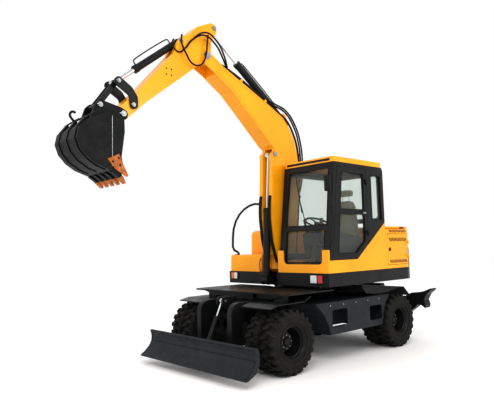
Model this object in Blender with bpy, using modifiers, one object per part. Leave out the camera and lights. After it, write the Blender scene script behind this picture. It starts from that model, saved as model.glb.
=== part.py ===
"""Wheeled excavator, as an assembly of separate sub-parts. Metres, +Z up, +X to the blade, +Y to the cab.

All the sizes below are in the machine's own frame: X = 0 midway between the axles, Z = 0 on the ground.
One empty, machine, carries everything and moves the origin under the middle of the whole machine.
"""

import math

import bmesh
import bpy
from mathutils import Matrix, Vector

# Placement and clearances
ORIGIN_X = 0.84
SEAT_GAP = 0.0003
RUN_GAP = 0.0005
DOOR_GAP = 0.006
SIDES = 24

# Wheels and axles
WHEELBASE = 2.543
TYRE_RADIUS = 0.42
TYRE_SIDES = 28
TYRE_WIDTH = 0.235
TWIN_GAP = 0.04
OVERALL_HALF_WIDTH = 1.087
RIM_RADIUS = 0.205
RIM_WALL = 0.015
HUB_RADIUS = 0.11
HUB_DEPTH = 0.13
KINGPIN_Y = 0.62
AXLE_TUBE_RADIUS = 0.075
SPINDLE_RADIUS = 0.06

# Chassis
BEAM_HALF_WIDTH = 0.33
BEAM_BOTTOM = 0.62
BEAM_TOP = 0.90
BEAM_FRONT = 1.50
BEAM_REAR = -1.90
SIDE_BOX_INNER = 0.45
SIDE_BOX_OUTER = 1.03
SIDE_BOX_WALL = 0.02
DECK_HALF_WIDTH = 1.0
DECK_TOP = 1.02
DECK_THICKNESS = 0.02
GUARD_INNER = 0.42
GUARD_THICKNESS = 0.012
SLEW_X = -0.20
SLEW_RADIUS = 0.43
SLEW_TOP = 1.03

# Blade
BLADE_PIVOT = (1.62, 0.33)
BLADE_HALF_WIDTH = 1.13
BLADE_FOOT = (1.87, 0.25)
BLADE_EYE = (1.55, 0.91)
GOOSENECK_INNER = 0.285
GOOSENECK_OUTER = 0.375

# Stabilisers, whose outlines lie in the Y-Z plane
LEG_X = -2.0
LEG_PIVOT = (0.60, 0.45)
LEG_FOOT = (0.30, 0.86)
LEG_EYE = (0.72, 0.66)
LEG_HALF_THICKNESS = 0.062

# Upper structure
UPPER_HALF_WIDTH = 1.06
UPPER_FRONT = 0.49
PLATFORM_BOTTOM = 1.06
PLATFORM_TOP = 1.25
TAIL_X = -1.95
BAY_FRONT = -0.98
BAY_TOP = 1.88
BAY_WALL = 0.03
HOOD_TOP = 1.925
WEIGHT_FRONT = -1.69
WEIGHT_TOP = 1.57

# Cab
CAB_INNER = 0.08
CAB_WALL = 0.04
CAB_REAR = -0.97
CAB_TOP = 2.86
CAB_SILL = 1.43
CAB_LEAN = 0.126
CAB_FRONT_AT_SILL = 0.452
ROOF_TOP = 2.94
GLASS = 0.006
DOOR_HINGE = (-0.50, 1.0735)

# Boom, arm and bucket lie in one plane; each point is (X, Z)
BOOM_Y = -0.11
BOOM_HALF_WIDTH = 0.14
BOOM_SLOT = 0.075
BOOM_FOOT = (0.22, 1.38)
FOOT_EAR_INNER = 0.15
FOOT_EAR_OUTER = 0.18
BOOM_CYLINDER_FOOT = (0.57, 1.13)
BOOM_CYLINDER_EYE = (0.43, 3.10)
ARM_PIVOT = (1.76, 4.39)
ARM_HALF_WIDTH = 0.11
ARM_CYLINDER_FOOT = (0.15, 3.76)
ARM_CYLINDER_EYE = (1.60, 4.84)
BUCKET_PIVOT = (3.10, 3.33)
BUCKET_CYLINDER_FOOT = (2.189, 4.513)
BUCKET_HALF_WIDTH = 0.31
BUCKET_WALL = 0.025
GUIDE_PIVOT = (2.954, 3.469)
LINK_PIVOT = (3.16, 3.74)
LINK_END = (3.41, 3.395)

PAINT = {
    "yellow_paint": ("F9AE14", 0.35, 0.0),
    "black_paint": ("2A2B2C", 0.45, 0.0),
    "dark_steel": ("3A3D42", 0.5, 0.4),
    "rubber": ("1E1E1C", 0.85, 0.0),
    "chrome": ("C8CACC", 0.12, 1.0),
    "light_steel": ("B9BDBE", 0.3, 0.6),
    "glass": ("A8B4B4", 0.05, 0.0),
    "seat_cloth": ("8C8A6A", 0.9, 0.0),
    "cast_iron": ("33353A", 0.7, 0.2),
    "plastic": ("262728", 0.6, 0.0),
}


# Helpers


def linear(channel):
    """One sRGB channel, 0 to 255, as a linear value."""
    value = channel / 255
    return value / 12.92 if value <= 0.04045 else ((value + 0.055) / 1.055) ** 2.4


def paint(name):
    """The named finish, made once."""
    if name in bpy.data.materials:
        return bpy.data.materials[name]
    colour, roughness, metallic = PAINT[name]
    made = bpy.data.materials.new(name)
    made.use_nodes = True
    shader = made.node_tree.nodes["Principled BSDF"]
    rgb = [linear(int(colour[i:i + 2], 16)) for i in (0, 2, 4)]
    shader.inputs["Base Color"].default_value = (*rgb, 1.0)
    shader.inputs["Roughness"].default_value = roughness
    shader.inputs["Metallic"].default_value = metallic
    return made


def clear_scene():
    for obj in list(bpy.data.objects):
        bpy.data.objects.remove(obj, do_unlink=True)
    for name in ("excavator", "operands"):
        collection = bpy.data.collections.new(name)
        bpy.context.scene.collection.children.link(collection)


def link(obj, collection="operands"):
    bpy.data.collections[collection].objects.link(obj)
    return obj


def mesh_object(bm, name="piece"):
    bmesh.ops.recalc_face_normals(bm, faces=bm.faces)
    if bm.calc_volume(signed=True) < 0:
        bmesh.ops.reverse_faces(bm, faces=bm.faces)
    mesh = bpy.data.meshes.new(name)
    bm.to_mesh(mesh)
    bm.free()
    return link(bpy.data.objects.new(name, mesh))


def box(low, high):
    """A box between two corners."""
    bm = bmesh.new()
    bmesh.ops.create_cube(bm, size=1.0)
    size = Vector(high) - Vector(low)
    middle = (Vector(high) + Vector(low)) / 2
    bmesh.ops.scale(bm, vec=size, verts=bm.verts)
    bmesh.ops.translate(bm, vec=middle, verts=bm.verts)
    return mesh_object(bm)


def rod(start, end, radius, end_radius=None, sides=SIDES):
    """A round bar, or a cone, from one point to another."""
    start, end = Vector(start), Vector(end)
    along = end - start
    bm = bmesh.new()
    bmesh.ops.create_cone(
        bm, cap_ends=True, segments=sides, radius1=radius,
        radius2=radius if end_radius is None else end_radius, depth=along.length,
    )
    turn = along.to_track_quat("Z", "Y").to_matrix().to_4x4()
    bm.transform(Matrix.Translation((start + end) / 2) @ turn)
    return mesh_object(bm)


def barrel(point, y, half_width, radius, sides=SIDES):
    """A round boss across the machine, at an (X, Z) point."""
    x, z = point
    return rod((x, y - half_width, z), (x, y + half_width, z), radius, sides=sides)


def turned(profile, point, steps):
    """A closed profile of (radius, along) points turned about a line through point, along Y."""
    bm = bmesh.new()
    corners = [bm.verts.new((radius, 0.0, along)) for radius, along in profile]
    for i, corner in enumerate(corners):
        bm.edges.new((corner, corners[(i + 1) % len(corners)]))
    mesh = bpy.data.meshes.new("turned")
    bm.to_mesh(mesh)
    bm.free()
    shape = link(bpy.data.objects.new("turned", mesh))
    screw = shape.modifiers.new("Screw", "SCREW")
    screw.steps = steps
    screw.render_steps = steps
    screw.use_merge_vertices = True
    screw.merge_threshold = 0.0001
    solid = applied(shape)
    # Half a step of turn puts a flat, not a corner, underneath.
    half_step = Matrix.Rotation(math.pi / 2 + math.pi / steps, 4, "Z")
    turn = Matrix.Rotation(math.radians(-90), 4, "X") @ half_step
    solid.data.transform(Matrix.Translation(point) @ turn)
    return solid


def applied(obj):
    """The object as its modifiers leave it, as a plain closed mesh."""
    bpy.context.view_layer.update()
    graph = bpy.context.evaluated_depsgraph_get()
    mesh = bpy.data.meshes.new_from_object(obj.evaluated_get(graph))
    mesh.transform(obj.matrix_world)
    bm = bmesh.new()
    bm.from_mesh(mesh)
    bmesh.ops.remove_doubles(bm, verts=bm.verts, dist=0.00001)
    bpy.data.objects.remove(obj, do_unlink=True)
    return mesh_object(bm)


PLANES = {
    "XZ": Matrix(((1, 0, 0, 0), (0, 0, -1, 0), (0, 1, 0, 0), (0, 0, 0, 1))),
    "YZ": Matrix(((0, 0, 1, 0), (1, 0, 0, 0), (0, 1, 0, 0), (0, 0, 0, 1))),
    "XY": Matrix.Identity(4),
}


def plate(loops, low, high, plane="XZ"):
    """A flat outline, and any holes in it, made as thick as low to high across its plane."""
    curve = bpy.data.curves.new("outline", "CURVE")
    curve.dimensions = "2D"
    curve.fill_mode = "BOTH"
    curve.extrude = (high - low) / 2
    for loop in loops:
        spline = curve.splines.new("POLY")
        spline.points.add(len(loop) - 1)
        for point, (a, b) in zip(spline.points, loop):
            point.co = (a, b, 0.0, 1.0)
        spline.use_cyclic_u = True
    shape = link(bpy.data.objects.new("outline", curve))
    middle = (high + low) / 2
    shape.matrix_world = PLANES[plane] @ Matrix.Translation((0, 0, -middle if plane == "XZ" else middle))
    return applied(shape)


def rounded(points, radius=0.0, steps=4):
    """An outline with its corners rounded; a point may carry its own radius as a third value."""
    outline = []
    for i, point in enumerate(points):
        corner = Vector(point[:2])
        reach = point[2] if len(point) > 2 else radius
        before = (Vector(points[i - 1][:2]) - corner)
        after = (Vector(points[(i + 1) % len(points)][:2]) - corner)
        if reach <= 0:
            outline.append(tuple(corner))
            continue
        half = before.angle(after) / 2
        back = min(reach / math.tan(half), 0.49 * min(before.length, after.length))
        centre = corner + (before.normalized() + after.normalized()).normalized() * back / math.cos(half)
        start = corner + before.normalized() * back - centre
        end = corner + after.normalized() * back - centre
        swing = start.angle_signed(end)
        for k in range(steps + 1):
            turn = Matrix.Rotation(-swing * k / steps, 2)
            outline.append(tuple(centre + turn @ start))
    return outline


def disc(point, radius, steps=16):
    """A round outline about a point."""
    return [
        (point[0] + radius * math.cos(2 * math.pi * i / steps),
         point[1] + radius * math.sin(2 * math.pi * i / steps))
        for i in range(steps)
    ]


def tube(points, radius, resolution=2):
    """A bent round bar along the points."""
    curve = bpy.data.curves.new("tube", "CURVE")
    curve.dimensions = "3D"
    curve.bevel_depth = radius
    curve.bevel_resolution = resolution
    curve.use_fill_caps = True
    spline = curve.splines.new("POLY")
    spline.points.add(len(points) - 1)
    for point, place in zip(spline.points, points):
        point.co = (*place, 1.0)
    return applied(link(bpy.data.objects.new("tube", curve)))


BODIES = {}


def body(name, pivot, parent=None):
    """An empty on a joint's axis, which carries the pieces that move there."""
    empty = bpy.data.objects.new(name + "_joint", None)
    empty.empty_display_size = 0.1
    bpy.data.collections["excavator"].objects.link(empty)
    pivot = Vector(pivot)
    if parent:
        holder, start = BODIES[parent]
        empty.parent = holder
        empty.location = pivot - start
    BODIES[name] = (empty, pivot)


def boolean(base, other, operation):
    modifier = base.modifiers.new(operation.title(), "BOOLEAN")
    modifier.operation = operation
    modifier.solver = "EXACT"
    modifier.object = other
    other.hide_render = True
    other.display_type = "WIRE"
    other.parent = base


def piece(name, holder, finish, solids, cuts=()):
    """One named sub-part: its solids joined, its cuts taken away, and placed on its body."""
    base = solids[0]
    base.name = name
    base.data.name = name
    bpy.data.collections["operands"].objects.unlink(base)
    link(base, "excavator")
    for other in solids[1:]:
        boolean(base, other, "UNION")
    for other in cuts:
        boolean(base, other, "DIFFERENCE")
    base.data.materials.clear()
    base.data.materials.append(paint(finish))
    empty, pivot = BODIES[holder]
    base.parent = empty
    base.location = -pivot
    return base


def mirrored(loop):
    """The same outline on the other side, with its points in turning order."""
    return [(-a, b) for a, b in reversed(loop)]


def toward(start, end, distance):
    """The point that far from start on the way to end."""
    start, end = Vector(start), Vector(end)
    return start + (end - start).normalized() * distance


def cylinder(name, holder, foot, eye, sizes, place, plane="XZ"):
    """A hydraulic cylinder's tube, with its foot eye, and its rod, with its own eye."""
    tube_radius, rod_radius, tube_length, rod_length, eye_radius, half_width = sizes

    def at(point, across):
        return (point[0], across, point[1]) if plane == "XZ" else (across, point[0], point[1])

    def across_eye(point, radius):
        return rod(at(point, place - half_width), at(point, place + half_width), radius)

    foot3, eye3 = at(foot, place), at(eye, place)
    neck_end = 1.25 * eye_radius + 0.01
    neck = rod(foot3, toward(foot3, eye3, neck_end + 0.01), 0.9 * half_width)
    tube_end = toward(foot3, eye3, tube_length)
    gland_start = toward(foot3, eye3, tube_length - 0.05)
    gland = rod(gland_start, toward(foot3, eye3, tube_length + 0.012), tube_radius * 1.14)
    bore = rod(toward(foot3, eye3, neck_end + 0.025), toward(foot3, eye3, tube_length + 0.1),
               rod_radius + 0.0006)
    piece(name + "_tube", holder + "_tube", "black_paint",
          [rod(toward(foot3, eye3, neck_end), tube_end, tube_radius), neck, across_eye(foot, eye_radius),
           gland], [bore])
    rod_start = toward(eye3, foot3, rod_length)
    piece(name + "_rod", holder + "_rod", "chrome",
          [rod(rod_start, toward(eye3, foot3, 0.5 * eye_radius), rod_radius), across_eye(eye, eye_radius)])


# Wheels and axles

AXLE_Z = TYRE_RADIUS * math.cos(math.pi / TYRE_SIDES)
TWIN_INNER = OVERALL_HALF_WIDTH - 2 * TYRE_WIDTH - TWIN_GAP
DISC_INNER = TWIN_INNER + 0.208
DISC_THICKNESS = 0.03


def tyre_section(middle):
    """The outer half of one tyre's section, from its inner bead to its outer bead."""
    half = TYRE_WIDTH / 2
    tread = TYRE_RADIUS
    shape = [(RIM_RADIUS, 0.72), (0.24, 0.93), (0.31, 1.0), (0.365, 0.95), (tread - 0.012, 0.86),
             (tread, 0.74)]
    inner = [(radius, middle - share * half) for radius, share in shape]
    outer = [(radius, middle + share * half) for radius, share in reversed(shape)]
    return inner + outer


def wheel(name, side, axle_x):
    """Twin tyres on their rim barrel, and the hub with its disc."""
    first = TWIN_INNER + TYRE_WIDTH / 2
    second = first + TYRE_WIDTH + TWIN_GAP
    bore = RIM_RADIUS - RIM_WALL
    edge = 0.4 * TYRE_WIDTH
    section = [(bore, first - edge),
               (RIM_RADIUS, first - edge)] + tyre_section(first) + tyre_section(second) + [
        (RIM_RADIUS, second + edge), (bore, second + edge)]
    if side > 0:
        profile = section
    else:
        profile = [(radius, -along) for radius, along in reversed(section)]
    centre = (axle_x, 0.0, AXLE_Z)
    piece(name + "_tyres", name + "_wheel", "rubber", [turned(profile, centre, TYRE_SIDES)])
    hub_start = side * DISC_INNER
    hub_end = side * (DISC_INNER + DISC_THICKNESS)
    hub_nose = side * (DISC_INNER + DISC_THICKNESS + HUB_DEPTH)
    disc_piece = rod((axle_x, hub_start, AXLE_Z), (axle_x, hub_end, AXLE_Z), bore - 0.0012)
    nose = rod((axle_x, hub_start + side * 0.01, AXLE_Z), (axle_x, hub_nose, AXLE_Z), HUB_RADIUS)
    piece(name + "_hub", name + "_wheel", "cast_iron", [disc_piece, nose])


def front_axle():
    x = WHEELBASE / 2
    end = KINGPIN_Y - 0.12
    solids = [rod((x, -end, AXLE_Z), (x, end, AXLE_Z), AXLE_TUBE_RADIUS)]
    solids.append(rod((x, -0.12, AXLE_Z), (x, 0.12, AXLE_Z), 0.15))
    solids.append(rod((x, 0, AXLE_Z), (x - 0.26, 0, AXLE_Z), 0.07))
    for side in (-1, 1):
        solids.append(box((x - 0.07, side * end - 0.03, AXLE_Z - 0.13),
                          (x + 0.07, side * end + 0.03, AXLE_Z + 0.13)))
        for lift in (-1, 1):
            y0, y1 = sorted((side * (end + 0.01), side * (KINGPIN_Y + 0.05)))
            z0, z1 = sorted((AXLE_Z + lift * (0.085 + RUN_GAP), AXLE_Z + lift * 0.125))
            solids.append(box((x - 0.05, y0, z0), (x + 0.05, y1, z1)))
        y0, y1 = sorted((side * 0.20, side * 0.30))
        solids.append(box((x - 0.09, y0, AXLE_Z + 0.04), (x + 0.09, y1, BEAM_BOTTOM - SEAT_GAP)))
    piece("front_axle", "chassis", "black_paint", solids)


def rear_axle():
    x = -WHEELBASE / 2
    end = DISC_INNER - RUN_GAP
    solids = [rod((x, -end, AXLE_Z), (x, end, AXLE_Z), AXLE_TUBE_RADIUS)]
    solids.append(rod((x, -0.12, AXLE_Z), (x, 0.12, AXLE_Z), 0.15))
    solids.append(rod((x, 0, AXLE_Z), (x + 0.26, 0, AXLE_Z), 0.07))
    for side in (-1, 1):
        solids.append(rod((x, side * (TWIN_INNER + 0.03), AXLE_Z), (x, side * (end - 0.01), AXLE_Z), 0.13))
        y0, y1 = sorted((side * 0.20, side * 0.30))
        solids.append(box((x - 0.09, y0, AXLE_Z + 0.04), (x + 0.09, y1, BEAM_BOTTOM - SEAT_GAP)))
    piece("rear_axle", "chassis", "black_paint", solids)


def knuckle(name, side):
    x = WHEELBASE / 2
    y = side * KINGPIN_Y
    post = rod((x, y, AXLE_Z - 0.085), (x, y, AXLE_Z + 0.085), 0.05)
    spindle = rod((x, y, AXLE_Z), (x, side * (DISC_INNER - RUN_GAP), AXLE_Z), SPINDLE_RADIUS)
    piece(name, name, "black_paint", [post, spindle])


def drive_shaft():
    reach = WHEELBASE / 2 - 0.26 - SEAT_GAP
    solids = [box((-0.28, -0.15, 0.37), (0.18, 0.15, BEAM_BOTTOM - SEAT_GAP))]
    solids.append(rod((-reach, 0, AXLE_Z), (reach, 0, AXLE_Z), 0.032, sides=16))
    solids.append(rod((reach - 0.09, 0, AXLE_Z), (reach, 0, AXLE_Z), 0.055, sides=16))
    solids.append(rod((-reach, 0, AXLE_Z), (-reach + 0.09, 0, AXLE_Z), 0.055, sides=16))
    piece("drive_shaft", "chassis", "black_paint", solids)


# Chassis


def chassis_frame():
    w = BEAM_HALF_WIDTH
    solids = [box((BEAM_REAR + 0.02, -w, BEAM_BOTTOM), (1.34, w, BEAM_TOP))]
    # Turntable base
    solids.append(rod((SLEW_X, 0, BEAM_TOP - 0.05), (SLEW_X, 0, 0.96), 0.56, 0.46, sides=32))
    # Cross members that carry the side boxes
    for x in (-0.62, 0.22):
        reach = SIDE_BOX_INNER - SEAT_GAP
        solids.append(box((x - 0.07, -reach, 0.66), (x + 0.07, reach, 0.84)))
    # Gooseneck beams and the plate between them
    px, pz = BLADE_PIVOT
    outline = rounded([
        (1.26, 0.64), (1.26, BEAM_TOP + 0.004), (px + 0.09, BEAM_TOP + 0.004, 0.14),
        (px + 0.09, pz - 0.07, 0.07),
        (px - 0.07, pz - 0.07, 0.07), (px - 0.10, 0.64, 0.05),
    ])
    for side in (-1, 1):
        y0, y1 = sorted((side * GOOSENECK_INNER, side * GOOSENECK_OUTER))
        solids.append(plate([outline], y0, y1))
    reach = GOOSENECK_INNER + 0.02
    solids.append(box((1.32, -reach, 0.66), (1.44, reach, BEAM_TOP - 0.006)))
    # Ears of the blade cylinder's upper pin
    ex, ez = BLADE_EYE
    ear = rounded([(1.35, 0.72), (1.35, 0.965), (ex + 0.055, 0.965, 0.05), (ex + 0.055, ez - 0.055, 0.05),
                   (1.45, 0.72)])
    for side in (-1, 1):
        y0, y1 = sorted((side * 0.042, side * 0.068))
        solids.append(plate([ear], y0, y1))
    # Rear cross beam and tower of the stabilisers
    solids.append(box((BEAM_REAR, -0.70, 0.36), (BEAM_REAR + 0.13, 0.70, 0.61)))
    solids.append(box((BEAM_REAR + 0.003, -0.40, 0.40), (BEAM_REAR + 0.12, 0.40, 0.945)))
    piece("chassis_frame", "chassis", "black_paint", solids)


def side_box(name, side):
    """The box between the wheels: a curved front, an open bottom, and two step holes in its outer plate."""
    top, bottom = 0.85, 0.40
    front = [(0.77, top), (0.66, 0.76), (0.57, 0.66), (0.50, 0.54), (0.46, bottom)]
    rear = [(-0.84, bottom), (-0.87, 0.56), (-0.94, 0.72), (-1.04, top)]
    t = SIDE_BOX_WALL
    inner = [(0.70, top - t), (0.62, 0.75), (0.535, 0.65), (0.468, 0.53), (0.43, bottom - 0.05)]
    inner += [(-0.81, bottom - 0.05), (-0.838, 0.55), (-0.905, 0.70), (-0.99, top - t)]
    y0, y1 = sorted((side * SIDE_BOX_INNER, side * SIDE_BOX_OUTER))
    shell = plate([front + rear], y0, y1)
    hollow = plate([inner], y0 + t, y1 - t)
    steps = []
    for x0, x1, z0, z1 in ((0.06, 0.41, 0.50, 0.74), (-0.82, -0.50, 0.49, 0.71)):
        a, b = sorted((side * (SIDE_BOX_OUTER - 0.05), side * (SIDE_BOX_OUTER + 0.05)))
        hole = rounded([(x0, z0), (x1, z0), (x1, z1), (x0, z1)], 0.03, 2)
        steps.append(plate([hole], a, b))
    piece(name, "chassis", "dark_steel", [shell], [hollow] + steps)


def front_deck():
    """The flat deck over the front wheels, on a riser and two gussets."""
    w = DECK_HALF_WIDTH
    outline = rounded([(0.30, -w, 0.03), (1.27, -w, 0.05), (1.27, w, 0.05), (0.30, w, 0.03)])
    solids = [plate([outline], DECK_TOP - DECK_THICKNESS, DECK_TOP, "XY")]
    solids.append(box((0.42, -0.30, BEAM_TOP + 0.008), (1.24, 0.30, DECK_TOP - 0.01)))
    gusset = [(0.27, DECK_TOP - 0.01), (0.27, 0.93), (0.60, 0.93), (0.93, DECK_TOP - 0.01)]
    for x in (0.62, 1.18):
        solids.append(plate([gusset], x, x + 0.015, "YZ"))
        solids.append(plate([mirrored(gusset)], x, x + 0.015, "YZ"))
    pad = box((0.60, -0.20, BEAM_TOP + SEAT_GAP), (1.10, 0.20, 0.93))
    ring = rod((SLEW_X, 0, 0.90), (SLEW_X, 0, 1.10), 0.585, sides=32)
    solids += [pad] + front_mudguard(1) + front_mudguard(-1)
    piece("front_deck", "chassis", "black_paint", solids, [ring])


def rear_deck():
    """The sloping plate over the rear wheels, with its rear end bent down."""
    w = DECK_HALF_WIDTH
    t = 0.015
    sheet = [(-0.36, 1.03), (-1.54, 0.93), (-1.71, 0.79), (-1.70, 0.775), (-1.53, 0.915), (-0.36, 1.03 - t)]
    solids = [plate([sheet], -w, w)]
    solids.append(plate([[(-0.80, 0.985), (-0.80, BEAM_TOP + SEAT_GAP), (-1.45, BEAM_TOP + SEAT_GAP),
                          (-1.45, 0.93)]], -0.28, 0.28))
    for side in (-1, 1):
        y0, y1 = sorted((side * 0.94, side * 0.96))
        rib = [(-0.40, 1.02), (-0.52, 0.90), (-0.80, 0.86), (-1.0, 0.86), (-1.50, 0.925)]
        solids.append(plate([rib], y0, y1))
    ring = rod((SLEW_X, 0, 0.90), (SLEW_X, 0, 1.10), 0.585, sides=32)
    tower = box((-1.95, -0.45, 0.70), (-1.50, 0.45, 0.99))
    piece("rear_deck", "chassis", "black_paint", solids, [ring, tower])


def front_mudguard(side):
    """A bent sheet between the deck and the wheel, and the bracket that hangs it from the deck."""
    t = GUARD_THICKNESS
    line = [(0.80, 0.965), (0.93, 0.905), (1.42, 0.90), (1.58, 0.865)]
    sheet = line + [(x, z - t) for x, z in reversed(line)]
    y0, y1 = sorted((side * GUARD_INNER, side * (DECK_HALF_WIDTH - 0.02)))
    a, b = sorted((side * 0.62, side * 0.80))
    return [plate([sheet], y0, y1), box((1.05, a, 0.89), (1.15, b, DECK_TOP - 0.005))]


def slew_ring():
    bottom = 0.96 + SEAT_GAP
    solids = [rod((SLEW_X, 0, bottom), (SLEW_X, 0, SLEW_TOP), SLEW_RADIUS, sides=32)]
    solids.append(rod((SLEW_X, 0, bottom), (SLEW_X, 0, 0.985), SLEW_RADIUS + 0.025, sides=32))
    piece("slew_ring", "chassis", "cast_iron", solids)


# Blade


def blade():
    w = BLADE_HALF_WIDTH
    px, pz = BLADE_PIVOT
    front = [(2.00, 0.438), (1.985, 0.37), (1.99, 0.30), (2.03, 0.23), (2.10, 0.165), (2.18, 0.112)]
    back = [(2.165, 0.100), (2.085, 0.150), (2.012, 0.215), (1.968, 0.295), (1.963, 0.37), (1.972, 0.438)]
    solids = [plate([front + back], -w, w)]
    solids.append(rod((1.986, -w - 0.01, 0.440), (1.986, w + 0.01, 0.440), 0.022, sides=12))
    end = [(x + 0.005, z + 0.002) for x, z in front]
    end += [(2.14, 0.101), (2.00, 0.17), (1.94, 0.27), (1.94, 0.40), (1.96, 0.447)]
    for side in (-1, 1):
        y0, y1 = sorted((side * (w - 0.012), side * (w + 0.006)))
        solids.append(plate([end], y0, y1))
    # Push arms, between the gooseneck beams
    arm = rounded([(px - 0.065, pz + 0.065, 0.06), (px - 0.065, pz - 0.065, 0.06), (1.80, 0.20),
                   (2.035, 0.213),
                   (1.975, 0.30), (1.80, 0.36)])
    for side in (-1, 1):
        y0, y1 = sorted((side * 0.20, side * (GOOSENECK_INNER - 0.01)))
        solids.append(plate([arm], y0, y1))
        a, b = sorted((side * 0.21, side * (GOOSENECK_INNER - RUN_GAP)))
        solids.append(rod((px, a, pz), (px, b, pz), 0.055))
    solids.append(rod((1.70, -0.22, 0.25), (1.70, 0.22, 0.25), 0.036))
    # Ears of the cylinder's foot
    fx, fz = BLADE_FOOT
    ear = rounded([(fx - 0.05, fz + 0.05, 0.05), (fx - 0.05, fz - 0.05, 0.04), (2.035, 0.208), (1.975, 0.32)])
    for side in (-1, 1):
        y0, y1 = sorted((side * 0.0405, side * 0.065))
        solids.append(plate([ear], y0, y1))
    piece("blade", "blade", "dark_steel", solids)


# Stabilisers


def stabiliser(name, side):
    """A leg with its clawed foot, folded up beside the rear cross beam."""
    py, pz = LEG_PIVOT
    leg = rounded([(py - 0.07, pz + 0.07, 0.06), (py - 0.07, pz - 0.07, 0.06), (0.80, 0.43, 0.05),
                   (0.98, 0.56, 0.04),
                   (1.07, 0.70, 0.03), (0.99, 0.80, 0.03), (0.90, 0.79, 0.04), (0.76, 0.72, 0.04),
                   (0.66, 0.71, 0.04)])
    claw = [(0.965, 0.615), (1.10, 0.59), (1.15, 0.55), (1.167, 0.607), (1.14, 0.68), (1.19, 0.78),
            (1.285, 0.86),
            (1.27, 0.88), (1.15, 0.83), (1.02, 0.80), (0.96, 0.72)]
    if side < 0:
        leg, claw = mirrored(leg), mirrored(claw)
    t = LEG_HALF_THICKNESS
    solids = [plate([leg], LEG_X - t, LEG_X + t, "YZ"), plate([claw], LEG_X - 0.095, LEG_X + 0.08, "YZ")]
    y = side * py
    solids.append(rod((LEG_X, y, pz), (BEAM_REAR - RUN_GAP, y, pz), 0.05))
    slot = [(0.48, 0.47), (0.555, 0.483), (0.60, 0.515), (0.80, 0.555), (0.87, 0.86), (0.48, 0.86)]
    if side < 0:
        slot = mirrored(slot)
    gap = plate([slot], LEG_X - 0.0415, LEG_X + 0.0415, "YZ")
    piece(name, name, "black_paint", solids, [gap])


def stabiliser_cylinder(name, side):
    foot = (side * LEG_FOOT[0], LEG_FOOT[1])
    eye = (side * LEG_EYE[0], LEG_EYE[1])
    sizes = (0.033, 0.018, 0.385, 0.375, 0.034, 0.04)
    cylinder(name, name, foot, eye, sizes, LEG_X, "YZ")
    # The foot pin reaches forward to the tower's rear face.
    pin = rod((LEG_X, foot[0], foot[1]), (BEAM_REAR + 0.003 - RUN_GAP, foot[0], foot[1]), 0.024)
    boolean(bpy.data.objects[name + "_tube"], pin, "UNION")


# Upper structure


def tail(inset, front):
    """The upper structure's outline seen from above, behind X = front, drawn in by inset."""
    w = UPPER_HALF_WIDTH - inset
    corner = w - max(0.0, -1.60 - front) / 3
    curve = [(-1.60, w), (-1.72, w - 0.04), (-1.80, w - 0.12), (-1.86 + inset, 0.78), (-1.92 + inset, 0.45),
             (TAIL_X + inset, 0.15)]
    half = [(front, corner)] + [point for point in curve if point[0] < front]
    other = [(x, -y) for x, y in reversed(half)]
    return half + other


def platform():
    outline = tail(0.0, UPPER_FRONT)
    solids = [plate([outline], PLATFORM_BOTTOM, PLATFORM_TOP, "XY")]
    solids.append(rod((SLEW_X, 0, SLEW_TOP + RUN_GAP), (SLEW_X, 0, PLATFORM_BOTTOM + 0.02), 0.39, sides=32))
    ears = []
    fx, fz = BOOM_FOOT
    ear = rounded([(-0.18, PLATFORM_TOP - 0.02), (fx - 0.13, fz + 0.12, 0.10), (fx + 0.11, fz + 0.12, 0.10),
                   (fx + 0.24, PLATFORM_TOP - 0.02)])
    for side in (-1, 1):
        y0, y1 = sorted((BOOM_Y + side * FOOT_EAR_INNER, BOOM_Y + side * FOOT_EAR_OUTER))
        ears.append(plate([ear], y0, y1))
    notch = box((0.03, BOOM_Y - FOOT_EAR_INNER - 0.005, 1.10), (0.60, BOOM_Y + FOOT_EAR_INNER + 0.005, 1.50))
    frame = piece("platform", "upper", "black_paint", solids, [notch])
    for ear in ears:
        boolean(frame, ear, "UNION")
    # Ears of the boom cylinder's foot, in front of the notch
    cx, cz = BOOM_CYLINDER_FOOT
    low = PLATFORM_BOTTOM + 0.004
    lug = rounded([(0.43, low), (cx + 0.05, low, 0.04), (cx + 0.055, cz + 0.055, 0.05),
                   (cx - 0.055, cz + 0.055, 0.05),
                   (0.43, 1.12)])
    for side in (-1, 1):
        y0, y1 = sorted((BOOM_Y + side * 0.0405, BOOM_Y + side * 0.066))
        boolean(frame, plate([lug], y0, y1), "UNION")


def counterweight():
    outline = tail(0.0, WEIGHT_FRONT)
    piece("counterweight", "upper", "black_paint",
          [plate([outline], PLATFORM_TOP + SEAT_GAP, WEIGHT_TOP, "XY")])


def engine():
    low = PLATFORM_TOP + SEAT_GAP
    piece("engine", "upper", "cast_iron", [box((-1.58, -0.38, low), (-1.05, 0.42, 1.72))])


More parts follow.
